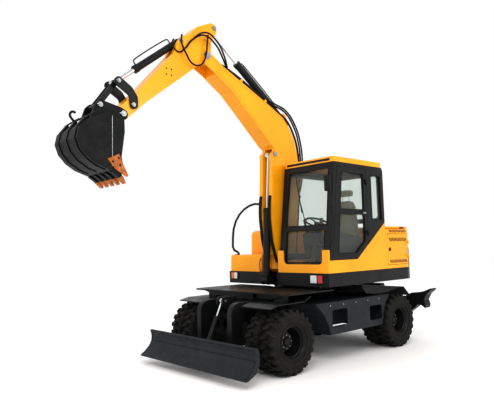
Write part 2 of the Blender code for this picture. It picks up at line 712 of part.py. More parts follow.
def engine_bay():
    """The yellow shell round the engine, open on top under the hood, with a door hole on the left."""
    low = PLATFORM_TOP + SEAT_GAP
    shell = plate([tail(0.004, BAY_FRONT)], low, BAY_TOP, "XY")
    hollow = plate([tail(BAY_WALL, BAY_FRONT - BAY_WALL)], low - 0.05, BAY_TOP + 0.05, "XY")
    weight = box((TAIL_X - 0.1, -1.2, low - 0.1), (WEIGHT_FRONT + SEAT_GAP, 1.2, WEIGHT_TOP + SEAT_GAP))
    x0, x1, z0, z1 = SERVICE_DOOR
    g = DOOR_GAP
    hole = box((x0 - g, 1.0, z0 - g), (x1 + g, 1.10, z1 + g))
    solids = [shell]
    bay = piece("engine_bay", "upper", "yellow_paint", solids, [hollow, weight, hole])
    # Hinge knuckles of the service door and the hood
    hx, hy = SERVICE_HINGE
    for z in (z0 + 0.10, z1 - 0.16):
        boolean(bay, box((x0 - g - 0.03, 1.02, z), (x0 - g + 0.003, hy + 0.006, z + 0.03)), "UNION")
        boolean(bay, rod((hx, hy, z), (hx, hy, z + 0.03), 0.01, sides=12), "UNION")
    for y in (-0.45, 0.45):
        hood_x, hood_z = HOOD_HINGE
        boolean(bay, box((hood_x - 0.01, y, BAY_TOP - 0.06), (BAY_FRONT - 0.002, y + 0.05, hood_z)), "UNION")
        boolean(bay, rod((hood_x, y, hood_z), (hood_x, y + 0.05, hood_z), 0.012, sides=12), "UNION")


SERVICE_DOOR = (-1.62, -1.04, 1.31, 1.80)
SERVICE_HINGE = (-1.63, 1.0675)
HOOD_HINGE = (-1.012, 1.908)


def service_door():
    x0, x1, z0, z1 = SERVICE_DOOR
    hx, hy = SERVICE_HINGE
    outline = rounded([(x0, z0), (x1, z0), (x1, z1), (x0, z1)], 0.03, 2)
    solids = [plate([outline], UPPER_HALF_WIDTH - 0.03, UPPER_HALF_WIDTH - 0.004)]
    for z in (z0 + 0.13 + RUN_GAP, z1 - 0.13 + RUN_GAP):
        solids.append(box((x0 + 0.002, 1.04, z), (x0 + 0.04, hy + 0.004, z + 0.03)))
        solids.append(box((hx, UPPER_HALF_WIDTH - 0.0035, z), (x0 + 0.03, hy + 0.004, z + 0.03)))
        solids.append(rod((hx, hy, z), (hx, hy, z + 0.03), 0.01, sides=12))
    piece("service_door", "service_door", "yellow_paint", solids)


def hood():
    hx, hz = HOOD_HINGE
    outline = tail(0.012, BAY_FRONT - 0.024)
    low = BAY_TOP + DOOR_GAP
    solids = [plate([outline], low, HOOD_TOP, "XY")]
    cuts = []
    for y in (-0.45, 0.45):
        cuts.append(box((hx - 0.022, y - RUN_GAP, BAY_TOP - 0.01),
                        (hx + 0.05, y + 0.05 + RUN_GAP, HOOD_TOP + 0.01)))
    made = piece("engine_hood", "engine_hood", "yellow_paint", solids, cuts)
    bevel = made.modifiers.new("Bevel", "BEVEL")
    bevel.width = 0.015
    bevel.segments = 1
    bevel.limit_method = "ANGLE"
    bevel.angle_limit = math.radians(60)
    made.modifiers.move(len(made.modifiers) - 1, 0)


def right_side():
    """The tall tank and the low cover box ahead of it, beside the boom."""
    low = PLATFORM_TOP + SEAT_GAP
    w = UPPER_HALF_WIDTH - 0.004
    inner = BOOM_Y - FOOT_EAR_OUTER - 0.03
    tank = rounded([(BAY_FRONT + SEAT_GAP, low), (-0.02, low), (-0.04, 1.93, 0.10),
                    (BAY_FRONT + SEAT_GAP, 1.93)])
    piece("fuel_tank", "upper", "yellow_paint", [plate([tank], -w, inner)])
    cover = rounded([(-0.0197, low), (0.46, low), (0.45, 1.52, 0.03), (-0.0197, 1.52)])
    piece("front_cover", "upper", "yellow_paint", [plate([cover], -w, inner)])


def handrail():
    y = -1.0
    line = [(0.33, 1.52 + SEAT_GAP), (0.33, 1.545), (0.36, 1.57), (0.43, 1.60), (0.46, 1.66),
            (0.455, 1.80), (0.435, 1.95),
            (0.38, 2.09), (0.29, 2.21), (0.18, 2.30), (0.05, 2.37), (-0.08, 2.405), (-0.40, 2.41),
            (-0.52, 2.39),
            (-0.59, 2.33), (-0.61, 2.24), (-0.61, 1.93 + SEAT_GAP)]
    piece("handrail", "upper", "black_paint", [tube([(x, y, z) for x, z in line], 0.019, 1)])


# Cab


def cab_front(z, inset=0.0):
    """X of the leaning windscreen plane at a height."""
    return CAB_FRONT_AT_SILL - CAB_LEAN * (z - CAB_SILL) - inset


DIAGONAL_START = -0.21
DIAGONAL_SLOPE = 0.7313


def diagonal(x, lift=0.0):
    """Height of the sloping edge under the cab's rear quarter."""
    return CAB_SILL + (DIAGONAL_START - x) * DIAGONAL_SLOPE + lift


FRAME_BOTTOM = 1.30


def cab_base():
    """The yellow panels under the cab: a front sill that dips under the windscreen, and the left side."""
    low = PLATFORM_TOP + SEAT_GAP
    w = UPPER_HALF_WIDTH - 0.002
    front = [(CAB_INNER, low), (w, low), (w, 1.58), (0.95, 1.58)]
    front += rounded([(0.945, 1.50), (0.945, 1.375, 0.09), (0.195, 1.375, 0.09), (0.195, 1.50)])
    front += [(0.19, 1.58), (CAB_INNER, 1.58)]
    solids = [plate([front], cab_front(FRAME_BOTTOM, 0.002) + SEAT_GAP, UPPER_FRONT - 0.002, "YZ")]
    top = CAB_SILL - SEAT_GAP
    post = cab_front(CAB_SILL) + SEAT_GAP
    side = [(UPPER_FRONT - 0.004, low), (UPPER_FRONT - 0.004, 1.575), (post, 1.575), (post, top)]
    side += [(DIAGONAL_START + 0.0003, top), (CAB_REAR - 0.006, diagonal(CAB_REAR - 0.006, -0.0006)),
             (CAB_REAR - 0.006, low)]
    solids.append(plate([side], UPPER_HALF_WIDTH - 0.03, UPPER_HALF_WIDTH - 0.003))
    solids.append(plate([side], CAB_INNER + 0.001, CAB_INNER + 0.03))
    solids.append(box((CAB_REAR - 0.004, CAB_INNER + 0.002, low), (0.48, w - 0.01, low + 0.03)))
    piece("cab_base", "upper", "yellow_paint", solids)


def cab_outline():
    return [(cab_front(CAB_SILL), CAB_SILL), (cab_front(CAB_TOP), CAB_TOP), (CAB_REAR + 0.03, CAB_TOP),
            (CAB_REAR, CAB_TOP - 0.06), (CAB_REAR, diagonal(CAB_REAR)), (DIAGONAL_START, CAB_SILL)]


DOOR_TOP = 2.80
DOOR_REAR = -0.494
DOOR_FRONT_INSET = 0.07


def door_outline(gap):
    """The door's edge, drawn out by gap; the rear lower corner follows the diagonal."""
    low = CAB_SILL + DOOR_GAP - gap
    return [(cab_front(low, DOOR_FRONT_INSET - gap), low),
            (cab_front(DOOR_TOP, DOOR_FRONT_INSET - gap), DOOR_TOP + gap),
            (DOOR_REAR - gap, DOOR_TOP + gap),
            (DOOR_REAR - gap, diagonal(DOOR_REAR, DOOR_GAP - 1.3 * gap)),
            (DIAGONAL_START, low)]


def cab_frame():
    w = UPPER_HALF_WIDTH
    quarter = rounded([(-0.63, 2.02), (-0.63, 2.72), (-0.88, 2.72), (-0.90, 2.02)], 0.03, 2)
    left = plate([cab_outline(), quarter], w - CAB_WALL, w)
    right_window = rounded([(cab_front(1.52, 0.07), 1.52), (cab_front(2.74, 0.07), 2.74), (-0.88, 2.74),
                            (-0.88, 2.02),
                            (-0.16, 1.52)], 0.03, 2)
    right = plate([cab_outline(), right_window], CAB_INNER, CAB_INNER + CAB_WALL)
    # Front frame, upright and then leaned back about the sill line
    lower = rounded([(0.20, 1.385, 0.08), (0.94, 1.385, 0.08), (0.94, 1.87), (0.20, 1.87)], 0.01, 3)
    upper = rounded([(0.17, 1.94), (0.97, 1.94), (0.96, 2.77), (0.19, 2.77)], 0.04, 2)
    edge = [(CAB_INNER + 0.031, FRAME_BOTTOM), (w - 0.031, FRAME_BOTTOM), (w - 0.031, CAB_SILL + 0.15),
            (w - 0.01, CAB_SILL + 0.15), (w - 0.01, CAB_TOP), (0.09, CAB_TOP), (0.09, CAB_SILL + 0.01),
            (CAB_INNER + 0.031, CAB_SILL + 0.01)]
    front = plate([edge, lower, upper],
                  CAB_FRONT_AT_SILL - CAB_WALL, CAB_FRONT_AT_SILL - 0.002, "YZ")
    for vertex in front.data.vertices:
        vertex.co.x -= CAB_LEAN * (vertex.co.z - CAB_SILL)
    rear_window = rounded([(0.18, 2.06), (0.96, 2.06), (0.96, 2.74), (0.18, 2.74)], 0.04, 2)
    rear = plate([[(0.09, 1.985), (w - 0.01, 1.985), (w - 0.01, CAB_TOP - 0.004),
                   (0.09, CAB_TOP - 0.004)], rear_window],
                 CAB_REAR + 0.002, CAB_REAR + CAB_WALL, "YZ")
    hole = plate([door_outline(DOOR_GAP)], w - CAB_WALL - 0.02, w + 0.02)
    below = box((-0.22, w - CAB_WALL - 0.02, 1.35), (0.36, w + 0.02, CAB_SILL + 0.001))
    frame = piece("cab_frame", "upper", "black_paint", [left, right, front, rear], [hole, below])
    hx, hy = DOOR_HINGE
    for z in (1.78, 2.56):
        boolean(frame, box((hx - 0.03, w - 0.02, z), (hx - DOOR_GAP, hy + 0.006, z + 0.04)), "UNION")
        boolean(frame, rod((hx, hy, z), (hx, hy, z + 0.04), 0.012, sides=12), "UNION")


def cab_roof():
    w = UPPER_HALF_WIDTH
    front = cab_front(CAB_TOP) + 0.015
    outline = rounded([(front, CAB_INNER - 0.004, 0.06), (front, w, 0.06), (CAB_REAR + 0.01, w, 0.06),
                       (CAB_REAR + 0.01, CAB_INNER - 0.004, 0.06)])
    roof = plate([outline], CAB_TOP + SEAT_GAP, ROOF_TOP, "XY")
    made = piece("cab_roof", "upper", "yellow_paint", [roof])
    bevel = made.modifiers.new("Bevel", "BEVEL")
    bevel.width = 0.03
    bevel.segments = 2
    bevel.limit_method = "ANGLE"
    bevel.angle_limit = math.radians(60)


def cab_glass():
    g = GLASS
    s = SEAT_GAP
    inside = CAB_FRONT_AT_SILL - CAB_WALL - s
    pane = plate([[(0.15, 1.36), (0.99, 1.36), (0.99, 2.80), (0.15, 2.80)]], inside - g, inside, "YZ")
    for vertex in pane.data.vertices:
        vertex.co.x -= CAB_LEAN * (vertex.co.z - CAB_SILL)
    piece("windscreen", "upper", "glass", [pane])
    y = CAB_INNER + CAB_WALL + s
    loop = [(cab_front(1.48, 0.06), 1.48), (cab_front(2.78, 0.06), 2.78), (-0.91, 2.78), (-0.91, 1.99),
            (-0.17, 1.48)]
    piece("right_window", "upper", "glass", [plate([loop], y, y + g)])
    x = CAB_REAR + CAB_WALL + s
    loop = [(0.16, 2.03), (0.98, 2.03), (0.98, 2.77), (0.16, 2.77)]
    piece("rear_window", "upper", "glass", [plate([loop], x, x + g, "YZ")])
    y = UPPER_HALF_WIDTH - CAB_WALL - s
    loop = [(-0.60, 1.99), (-0.60, 2.75), (-0.91, 2.75), (-0.92, 1.99)]
    piece("quarter_window", "upper", "glass", [plate([loop], y - g, y)])


def cab_inside():
    """Seat pedestal, consoles with levers, and the steering column on the cab floor."""
    floor = PLATFORM_TOP + SEAT_GAP + 0.03 + SEAT_GAP
    middle = 0.57
    solids = [box((-0.62, middle - 0.22, floor), (-0.02, middle + 0.22, 1.62))]
    for side in (-1, 1):
        y0, y1 = sorted((middle + side * 0.20, middle + side * 0.26))
        solids.append(box((-0.42, y0, 1.45), (-0.20, y1, 1.60)))
        y0, y1 = sorted((middle + side * 0.255, middle + side * 0.35))
        solids.append(plate([rounded([(-0.55, 1.46), (0.02, 1.46), (0.06, 1.84, 0.03),
                                      (-0.50, 1.76, 0.03)])], y0, y1))
        solids.append(rod((0.0, middle + side * 0.30, 1.80), (0.05, middle + side * 0.30, 2.02),
                          0.02, sides=10))
    solids.append(box((-0.10, middle - 0.10, floor), (0.34, middle + 0.10, floor + 0.02)))
    solids.append(rod((0.25, middle, floor + 0.012), (0.113, middle, 1.995), 0.045, sides=12))
    ring = [(0.18 * math.cos(a), 0.18 * math.sin(a), 0) for a in [2 * math.pi * i / 20 for i in range(21)]]
    turn = Matrix.Rotation(math.radians(-22), 3, "Y")
    centre = Vector((0.115, middle, 1.99))
    for k in (0, 7, 13):
        solids.append(rod(centre, centre + turn @ Vector(ring[k]), 0.011, sides=8))
    wheel_rim = torus(centre, turn, 0.18, 0.015)
    solids.append(wheel_rim)
    piece("cab_controls", "upper", "plastic", solids)


def torus(centre, turn, radius, thickness, steps=20):
    bm = bmesh.new()
    section = bmesh.ops.create_circle(bm, segments=8, radius=thickness, cap_ends=False)
    bmesh.ops.rotate(bm, verts=section["verts"], matrix=Matrix.Rotation(math.pi / 2, 3, "X"))
    bmesh.ops.translate(bm, verts=section["verts"], vec=(radius, 0, 0))
    bmesh.ops.spin(bm, geom=list(bm.verts) + list(bm.edges), axis=(0, 0, 1), cent=(0, 0, 0),
                   angle=2 * math.pi, steps=steps, use_merge=True)
    bmesh.ops.remove_doubles(bm, verts=bm.verts, dist=0.00001)
    bm.transform(Matrix.Translation(centre) @ turn.to_4x4())
    return mesh_object(bm)


def seat():
    low = 1.62 + SEAT_GAP
    outline = rounded([(-0.60, low), (-0.04, low, 0.03), (0.0, low + 0.13, 0.05), (-0.45, low + 0.14, 0.04),
                       (-0.55, 2.34, 0.03), (-0.56, 2.38), (-0.57, 2.52, 0.04), (-0.67, 2.52, 0.04),
                       (-0.66, 2.38),
                       (-0.69, 2.34, 0.03)])
    piece("seat", "upper", "seat_cloth", [plate([outline], 0.57 - 0.235, 0.57 + 0.235)])


def cab_door():
    w = UPPER_HALF_WIDTH
    hx, hy = DOOR_HINGE
    upper = rounded([(cab_front(2.17, 0.19), 2.17), (cab_front(2.72, 0.18), 2.72), (-0.43, 2.72),
                     (-0.43, 2.17)], 0.03, 2)
    lower = rounded([(cab_front(1.52, 0.19), 1.52), (cab_front(2.10, 0.19), 2.10), (-0.43, 2.10),
                     (-0.43, 1.70),
                     (-0.20, 1.52)], 0.03, 2)
    solids = [plate([door_outline(0.0), upper, lower], w - CAB_WALL, w)]
    for z in (1.82 + RUN_GAP, 2.60 + RUN_GAP):
        solids.append(box((DOOR_REAR - 0.004, w - 0.02, z), (DOOR_REAR + 0.03, hy + 0.006, z + 0.04)))
        solids.append(rod((hx, hy, z), (hx, hy, z + 0.04), 0.012, sides=12))
    piece("cab_door", "cab_door", "black_paint", solids)
    y = w - CAB_WALL - SEAT_GAP
    loop = [(cab_front(1.48, 0.15), 1.48), (cab_front(2.76, 0.14), 2.76), (-0.455, 2.76), (-0.455, 1.68),
            (-0.19, 1.48)]
    piece("door_glass", "cab_door", "glass", [plate([loop], y - GLASS, y)])


# Boom, arm and bucket


def boom():
    y, w = BOOM_Y, BOOM_HALF_WIDTH
    outline = rounded([
        (1.838, 4.435, 0.05), (1.75, 4.470, 0.05), (1.454, 4.285), (0.518, 3.860), (0.22, 3.711, 0.12),
        (-0.01, 3.422, 0.3), (-0.115, 3.008, 0.3), (-0.105, 2.55), (-0.03, 1.95), (0.045, 1.46),
        (0.065, 1.30, 0.12),
        (0.22, 1.215, 0.12), (0.375, 1.30, 0.10), (0.505, 1.72), (0.545, 2.10), (0.498, 2.96),
        (0.50, 3.10, 0.05),
        (0.41, 3.180, 0.05), (0.50, 3.232, 0.05), (0.757, 3.470), (1.285, 3.951), (1.649, 4.183),
        (1.835, 4.275, 0.05),
    ], 0.0, 4)
    solids = [plate([outline], y - w, y + w)]
    solids.append(barrel(BOOM_FOOT, y, FOOT_EAR_INNER - RUN_GAP, 0.09))
    fx, fz = ARM_CYLINDER_FOOT
    ear = rounded([(0.0, 3.48), (fx - 0.075, fz + 0.01, 0.05), (fx - 0.01, fz + 0.06, 0.05),
                   (fx + 0.055, fz + 0.03, 0.05), (0.30, 3.70)])
    for side in (-1, 1):
        y0, y1 = sorted((y + side * 0.0455, y + side * 0.075))
        solids.append(plate([ear], y0, y1))
    slot = [(0.75, 1.50), (0.75, 3.19), (0.25, 3.19), (0.25, 3.0), (0.285, 2.90), (0.415, 1.80),
            (0.415, 1.50)]
    fork = box((1.60, y - ARM_HALF_WIDTH - 0.008, 4.0), (2.2, y + ARM_HALF_WIDTH + 0.008, 4.8))
    inner = plate([slot], y - BOOM_SLOT, y + BOOM_SLOT)
    nose = box((0.36, y - BOOM_SLOT, 1.0), (0.75, y + BOOM_SLOT, 1.52))
    piece("boom", "boom", "yellow_paint", solids, [inner, fork, nose])


def arm():
    y, w = BOOM_Y, ARM_HALF_WIDTH
    outline = rounded([
        (1.66, 4.905, 0.04), (1.56, 4.885, 0.045), (1.560, 4.79, 0.045), (1.665, 4.60, 0.05),
        (1.67, 4.33, 0.09),
        (1.78, 4.265, 0.06), (1.93, 4.20, 0.03), (2.072, 4.083), (2.742, 3.55), (3.045, 3.275, 0.06),
        (3.15, 3.265, 0.06),
        (3.175, 3.36, 0.06), (3.10, 3.45, 0.05), (2.859, 3.687), (2.325, 4.293, 0.1), (2.245, 4.47, 0.05),
        (2.185, 4.575, 0.05), (2.062, 4.623), (1.907, 4.782, 0.05),
    ], 0.0, 4)
    solids = [plate([outline], y - w, y + w)]
    for side in (-1, 1):
        solids.append(barrel(ARM_PIVOT, y + side * (w + 0.0037), 0.0038, 0.075))
    lever_slot = box((1.40, y - 0.048, 4.62), (1.79, y + 0.048, 5.1))
    foot_slot = [(2.09, 4.64), (2.07, 4.50), (2.14, 4.40), (2.28, 4.26), (2.50, 4.20), (2.50, 4.64)]
    pin_hole = barrel(GUIDE_PIVOT, y, w + 0.05, 0.034)
    piece("arm", "arm", "yellow_paint", solids,
          [lever_slot, plate([foot_slot], y - 0.048, y + 0.048), pin_hole])


def guide_links():
    """The two curved guides on the sides of the arm, joined by their pin."""
    y = BOOM_Y
    gx, gz = GUIDE_PIVOT
    jx, jz = LINK_PIVOT
    outline = rounded([(gx - 0.066, gz - 0.035, 0.05), (gx + 0.035, gz - 0.066, 0.05),
                       (gx + 0.062, gz + 0.11, 0.06),
                       (jx + 0.012, jz - 0.071, 0.05), (jx + 0.074, jz - 0.004, 0.05),
                       (jx + 0.003, jz + 0.067, 0.05),
                       (gx + 0.02, gz + 0.22, 0.08), (gx - 0.06, gz + 0.11, 0.06)])
    inner, outer = ARM_HALF_WIDTH + 0.006, ARM_HALF_WIDTH + 0.028
    solids = [barrel(GUIDE_PIVOT, y, outer - 0.006, 0.03)]
    for side in (-1, 1):
        y0, y1 = sorted((y + side * inner, y + side * outer))
        solids.append(plate([outline], y0, y1))
        a, b = sorted((y + side * (ARM_HALF_WIDTH + RUN_GAP), y + side * (inner + 0.008)))
        solids.append(plate([disc(GUIDE_PIVOT, 0.0415, 20)], a, b))
        a, b = sorted((y + side * (0.065 + RUN_GAP), y + side * (inner + 0.012)))
        solids.append(plate([disc(LINK_PIVOT, 0.0305, 18)], a, b))
    piece("guide_links", "guide_links", "black_paint", solids)


def bucket_link():
    y = BOOM_Y
    jx, jz = LINK_PIVOT
    ex, ez = LINK_END
    along = (Vector((ex, ez)) - Vector((jx, jz))).normalized()
    across = Vector((-along.y, along.x))
    half = 0.033
    start, end = Vector((jx, jz)), Vector((ex, ez))
    corners = [start - along * half + across * half, start - along * half - across * half,
               end + along * 0.01 - across * half, end + along * 0.01 + across * half]
    bar = rounded([(c.x, c.y, 0.03) for c in corners])
    solids = [barrel(LINK_END, y, 0.1145, 0.035)]
    for side in (-1, 1):
        y0, y1 = sorted((y + side * 0.040, y + side * 0.065))
        solids.append(plate([bar], y0, y1))
    web = [end - along * 0.14 + across * 0.02, end - along * 0.14 - across * 0.02, end - across * 0.02,
           end + across * 0.02]
    solids.append(plate([[tuple(c) for c in web]], y - 0.05, y + 0.05))
    piece("bucket_link", "bucket_link", "black_paint", solids)


BUCKET_BACK = [(3.335, 3.30), (3.51, 3.225), (3.66, 3.145), (3.75, 3.05), (3.775, 2.93), (3.73, 2.81),
               (3.64, 2.71),
               (3.52, 2.635), (3.40, 2.595), (3.27, 2.555)]


def bucket():
    y, w = BOOM_Y, BUCKET_HALF_WIDTH
    mouth = [(3.215, 2.80), (3.18, 3.05), (3.185, 3.22)]
    outer = plate([BUCKET_BACK + [(3.245, 2.60)] + mouth], y - w, y + w)
    t = BUCKET_WALL
    middle = Vector((3.42, 2.97))
    inside = [(3.325, 3.272)]
    for point in BUCKET_BACK[1:-1]:
        away = Vector(point) - middle
        inside.append(tuple(middle + away * (1 - t * 1.12 / away.length)))
    inside += [(3.26, 2.582), (3.00, 2.60), (3.00, 3.20), (3.235, 3.235)]
    hollow = plate([inside], y - w + t, y + w - t)
    kx, kz = BUCKET_PIVOT
    ex, ez = LINK_END
    ear = rounded([(kx - 0.065, kz + 0.03, 0.05), (kx - 0.05, kz - 0.06, 0.05), (3.20, 3.205), (3.33, 3.26),
                   (3.55, 3.18), (ex + 0.065, ez, 0.05), (ex, ez + 0.062, 0.05),
                   (kx + 0.03, kz + 0.072, 0.05)])
    solids = [outer]
    ears = []
    ear_inner, ear_outer = ARM_HALF_WIDTH + 0.0055, ARM_HALF_WIDTH + 0.034
    for side in (-1, 1):
        y0, y1 = sorted((y + side * ear_inner, y + side * ear_outer))
        ears.append(plate([ear], y0, y1))
        a, b = sorted((y + side * (ARM_HALF_WIDTH + RUN_GAP), y + side * (ear_outer - 0.01)))
        ears.append(rod((kx, a, kz), (kx, b, kz), 0.06))
    teeth = []
    for i in range(5):
        middle_y = y + (i - 2) * 0.138
        tooth = [(3.31, 2.615), (3.35, 2.565), (3.30, 2.535), (3.175, 2.442), (3.168, 2.450), (3.235, 2.575)]
        teeth.append(plate([tooth], middle_y - 0.028, middle_y + 0.028))
    # Bolt-on side cutters
    cutter = [(3.24, 2.80), (3.21, 2.66), (3.145, 2.535), (3.16, 2.525), (3.30, 2.60), (3.33, 2.70)]
    for side in (-1, 1):
        y0, y1 = sorted((y + side * (w - 0.004), y + side * (w + 0.014)))
        teeth.append(plate([cutter], y0, y1))
    made = piece("bucket", "bucket", "dark_steel", solids, [hollow])
    for extra in ears + teeth:
        boolean(made, extra, "UNION")


# Assembly


def at_plane(point, y=BOOM_Y):
    return (point[0], y, point[1])


def bodies():
    """One empty for each moving body, on its joint's axis."""
    half = WHEELBASE / 2
    body("chassis", (0, 0, 0))
    for name, side in (("front_left", 1), ("front_right", -1)):
        body(name + "_knuckle", (half, side * KINGPIN_Y, AXLE_Z), "chassis")
        body(name + "_wheel", (half, side * DISC_INNER, AXLE_Z), name + "_knuckle")
    for name, side in (("rear_left", 1), ("rear_right", -1)):
        body(name + "_wheel", (-half, side * DISC_INNER, AXLE_Z), "chassis")
    body("blade", at_plane(BLADE_PIVOT, 0.0), "chassis")
    body("blade_cylinder_tube", at_plane(BLADE_FOOT, 0.0), "blade")
    body("blade_cylinder_rod", at_plane(BLADE_EYE, 0.0), "blade_cylinder_tube")
    for name, side in (("left", 1), ("right", -1)):
        leg = name + "_stabiliser"
        body(leg, (LEG_X, side * LEG_PIVOT[0], LEG_PIVOT[1]), "chassis")
        body(leg + "_cylinder_tube", (LEG_X, side * LEG_FOOT[0], LEG_FOOT[1]), "chassis")
        body(leg + "_cylinder_rod", (LEG_X, side * LEG_EYE[0], LEG_EYE[1]), leg + "_cylinder_tube")
    body("upper", (SLEW_X, 0, SLEW_TOP), "chassis")
    body("cab_door", (*DOOR_HINGE, 2.0), "upper")
    body("service_door", (*SERVICE_HINGE, 1.5), "upper")
    body("engine_hood", at_plane(HOOD_HINGE, 0.0), "upper")
    body("boom", at_plane(BOOM_FOOT), "upper")
    body("boom_cylinder_tube", at_plane(BOOM_CYLINDER_FOOT), "upper")
    body("boom_cylinder_rod", at_plane(BOOM_CYLINDER_EYE), "boom_cylinder_tube")
    body("arm", at_plane(ARM_PIVOT), "boom")
    body("arm_cylinder_tube", at_plane(ARM_CYLINDER_FOOT), "boom")
    body("arm_cylinder_rod", at_plane(ARM_CYLINDER_EYE), "arm_cylinder_tube")
    body("bucket", at_plane(BUCKET_PIVOT), "arm")
    body("bucket_cylinder_tube", at_plane(BUCKET_CYLINDER_FOOT), "arm")
    body("bucket_cylinder_rod", at_plane(LINK_PIVOT), "bucket_cylinder_tube")
    body("guide_links", at_plane(GUIDE_PIVOT), "arm")
    body("bucket_link", at_plane(LINK_PIVOT), "guide_links")


def build():
    clear_scene()
    bodies()
    half = WHEELBASE / 2
    wheel("front_left", 1, half)
    wheel("front_right", -1, half)
    wheel("rear_left", 1, -half)
    wheel("rear_right", -1, -half)
    knuckle("front_left_knuckle", 1)
    knuckle("front_right_knuckle", -1)
    front_axle()
    rear_axle()
    drive_shaft()
    chassis_frame()
    side_box("left_side_box", 1)
    side_box("right_side_box", -1)
    front_deck()
    rear_deck()
    slew_ring()
    blade()
    cylinder("blade_cylinder", "blade_cylinder", BLADE_FOOT, BLADE_EYE, (0.034, 0.019, 0.494, 0.53, 0.036,
                                                                         0.04), 0.0)
    for name, side in (("left_stabiliser", 1), ("right_stabiliser", -1)):
        stabiliser(name, side)
        stabiliser_cylinder(name + "_cylinder", side)
    platform()
    counterweight()
    engine()
    engine_bay()
    service_door()
    hood()
    right_side()
    handrail()
    cab_base()
    cab_frame()
    cab_roof()
    cab_glass()
    cab_inside()
    seat()
    cab_door()
    boom()
    cylinder("boom_cylinder", "boom_cylinder", BOOM_CYLINDER_FOOT, BOOM_CYLINDER_EYE,
             (0.055, 0.031, 1.11, 1.25, 0.052, 0.04), BOOM_Y)
    arm()
    cylinder("arm_cylinder", "arm_cylinder", ARM_CYLINDER_FOOT, ARM_CYLINDER_EYE,
             (0.052, 0.028, 1.155, 1.27, 0.048, 0.045), BOOM_Y)
    bucket()
    guide_links()
    bucket_link()
    cylinder("bucket_cylinder", "bucket_cylinder", BUCKET_CYLINDER_FOOT, LINK_PIVOT,
             (0.047, 0.026, 0.85, 0.84, 0.045, 0.0345), BOOM_Y)
    BODIES["chassis"][0].location.x = -ORIGIN_X
    bpy.context.view_layer.update()


build()
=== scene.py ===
import math

import bmesh
import bpy
from mathutils import Matrix, Vector


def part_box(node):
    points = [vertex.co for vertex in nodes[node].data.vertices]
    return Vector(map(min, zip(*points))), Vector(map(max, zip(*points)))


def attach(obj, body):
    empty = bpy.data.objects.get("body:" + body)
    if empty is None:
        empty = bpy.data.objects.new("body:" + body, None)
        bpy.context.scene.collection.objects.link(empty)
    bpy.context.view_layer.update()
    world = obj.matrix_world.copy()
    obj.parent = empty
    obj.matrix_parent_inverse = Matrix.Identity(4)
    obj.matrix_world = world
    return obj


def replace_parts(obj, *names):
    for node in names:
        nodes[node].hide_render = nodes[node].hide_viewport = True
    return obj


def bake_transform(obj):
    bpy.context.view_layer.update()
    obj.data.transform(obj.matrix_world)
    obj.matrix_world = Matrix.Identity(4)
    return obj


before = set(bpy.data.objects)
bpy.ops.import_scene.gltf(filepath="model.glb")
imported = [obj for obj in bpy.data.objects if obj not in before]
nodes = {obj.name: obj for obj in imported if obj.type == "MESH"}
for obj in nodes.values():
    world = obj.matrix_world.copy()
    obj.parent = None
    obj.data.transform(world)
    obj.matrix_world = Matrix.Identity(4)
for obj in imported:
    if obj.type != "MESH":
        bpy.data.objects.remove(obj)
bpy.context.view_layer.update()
print("frame loaded")


def middleOf(node):
    low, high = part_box(node)
    return (low + high) / 2


# everything below is given from the point on the ground midway between the axles
axleMiddle = (middleOf("front_left_tyres").x + middleOf("rear_left_tyres").x) / 2
start = Vector((axleMiddle, 0, 0))
boomY = middleOf("boom").y
axleZ = middleOf("front_left_hub").z
halfBase = middleOf("front_left_hub").x - axleMiddle


# colours and materials

def hexToLinear(text):
    channels = [int(text[i:i + 2], 16) / 255 for i in (0, 2, 4)]
    return [c / 12.92 if c <= 0.04045 else ((c + 0.055) / 1.055) ** 2.4 for c in channels] + [1.0]


def addNode(tree, kind, settings=None, links=None):
    node = tree.nodes.new(kind)
    for key, value in (settings or {}).items():
        if key in node.inputs:
            node.inputs[key].default_value = value
        else:
            setattr(node, key, value)
    for key, socket in (links or {}).items():
        tree.links.new(socket, node.inputs[key])
    return node


def newMaterial(name):
    material = bpy.data.materials.new(name)
    material.use_nodes = True
    tree = material.node_tree
    place = addNode(tree, "ShaderNodeTexCoord").outputs["Object"]
    return material, tree, tree.nodes["Principled BSDF"], place


def noiseAt(tree, place, sizeMm, detail=3.0):
    # sizeMm is the real width of one blotch
    settings = {"Scale": 1000 / sizeMm, "Detail": detail, "Roughness": 0.5}
    return addNode(tree, "ShaderNodeTexNoise", settings, {"Vector": place}).outputs["Fac"]


def spread(tree, value, low, high, outLow, outHigh):
    settings = {"From Min": low, "From Max": high, "To Min": outLow, "To Max": outHigh}
    return addNode(tree, "ShaderNodeMapRange", settings, {"Value": value}).outputs["Result"]


def mixColours(tree, share, first, second):
    mix = addNode(tree, "ShaderNodeMix", {"data_type": "RGBA"})
    mix.inputs[6].default_value = hexToLinear(first)
    mix.inputs[7].default_value = hexToLinear(second)
    tree.links.new(share, mix.inputs[0])
    return mix.outputs[2]


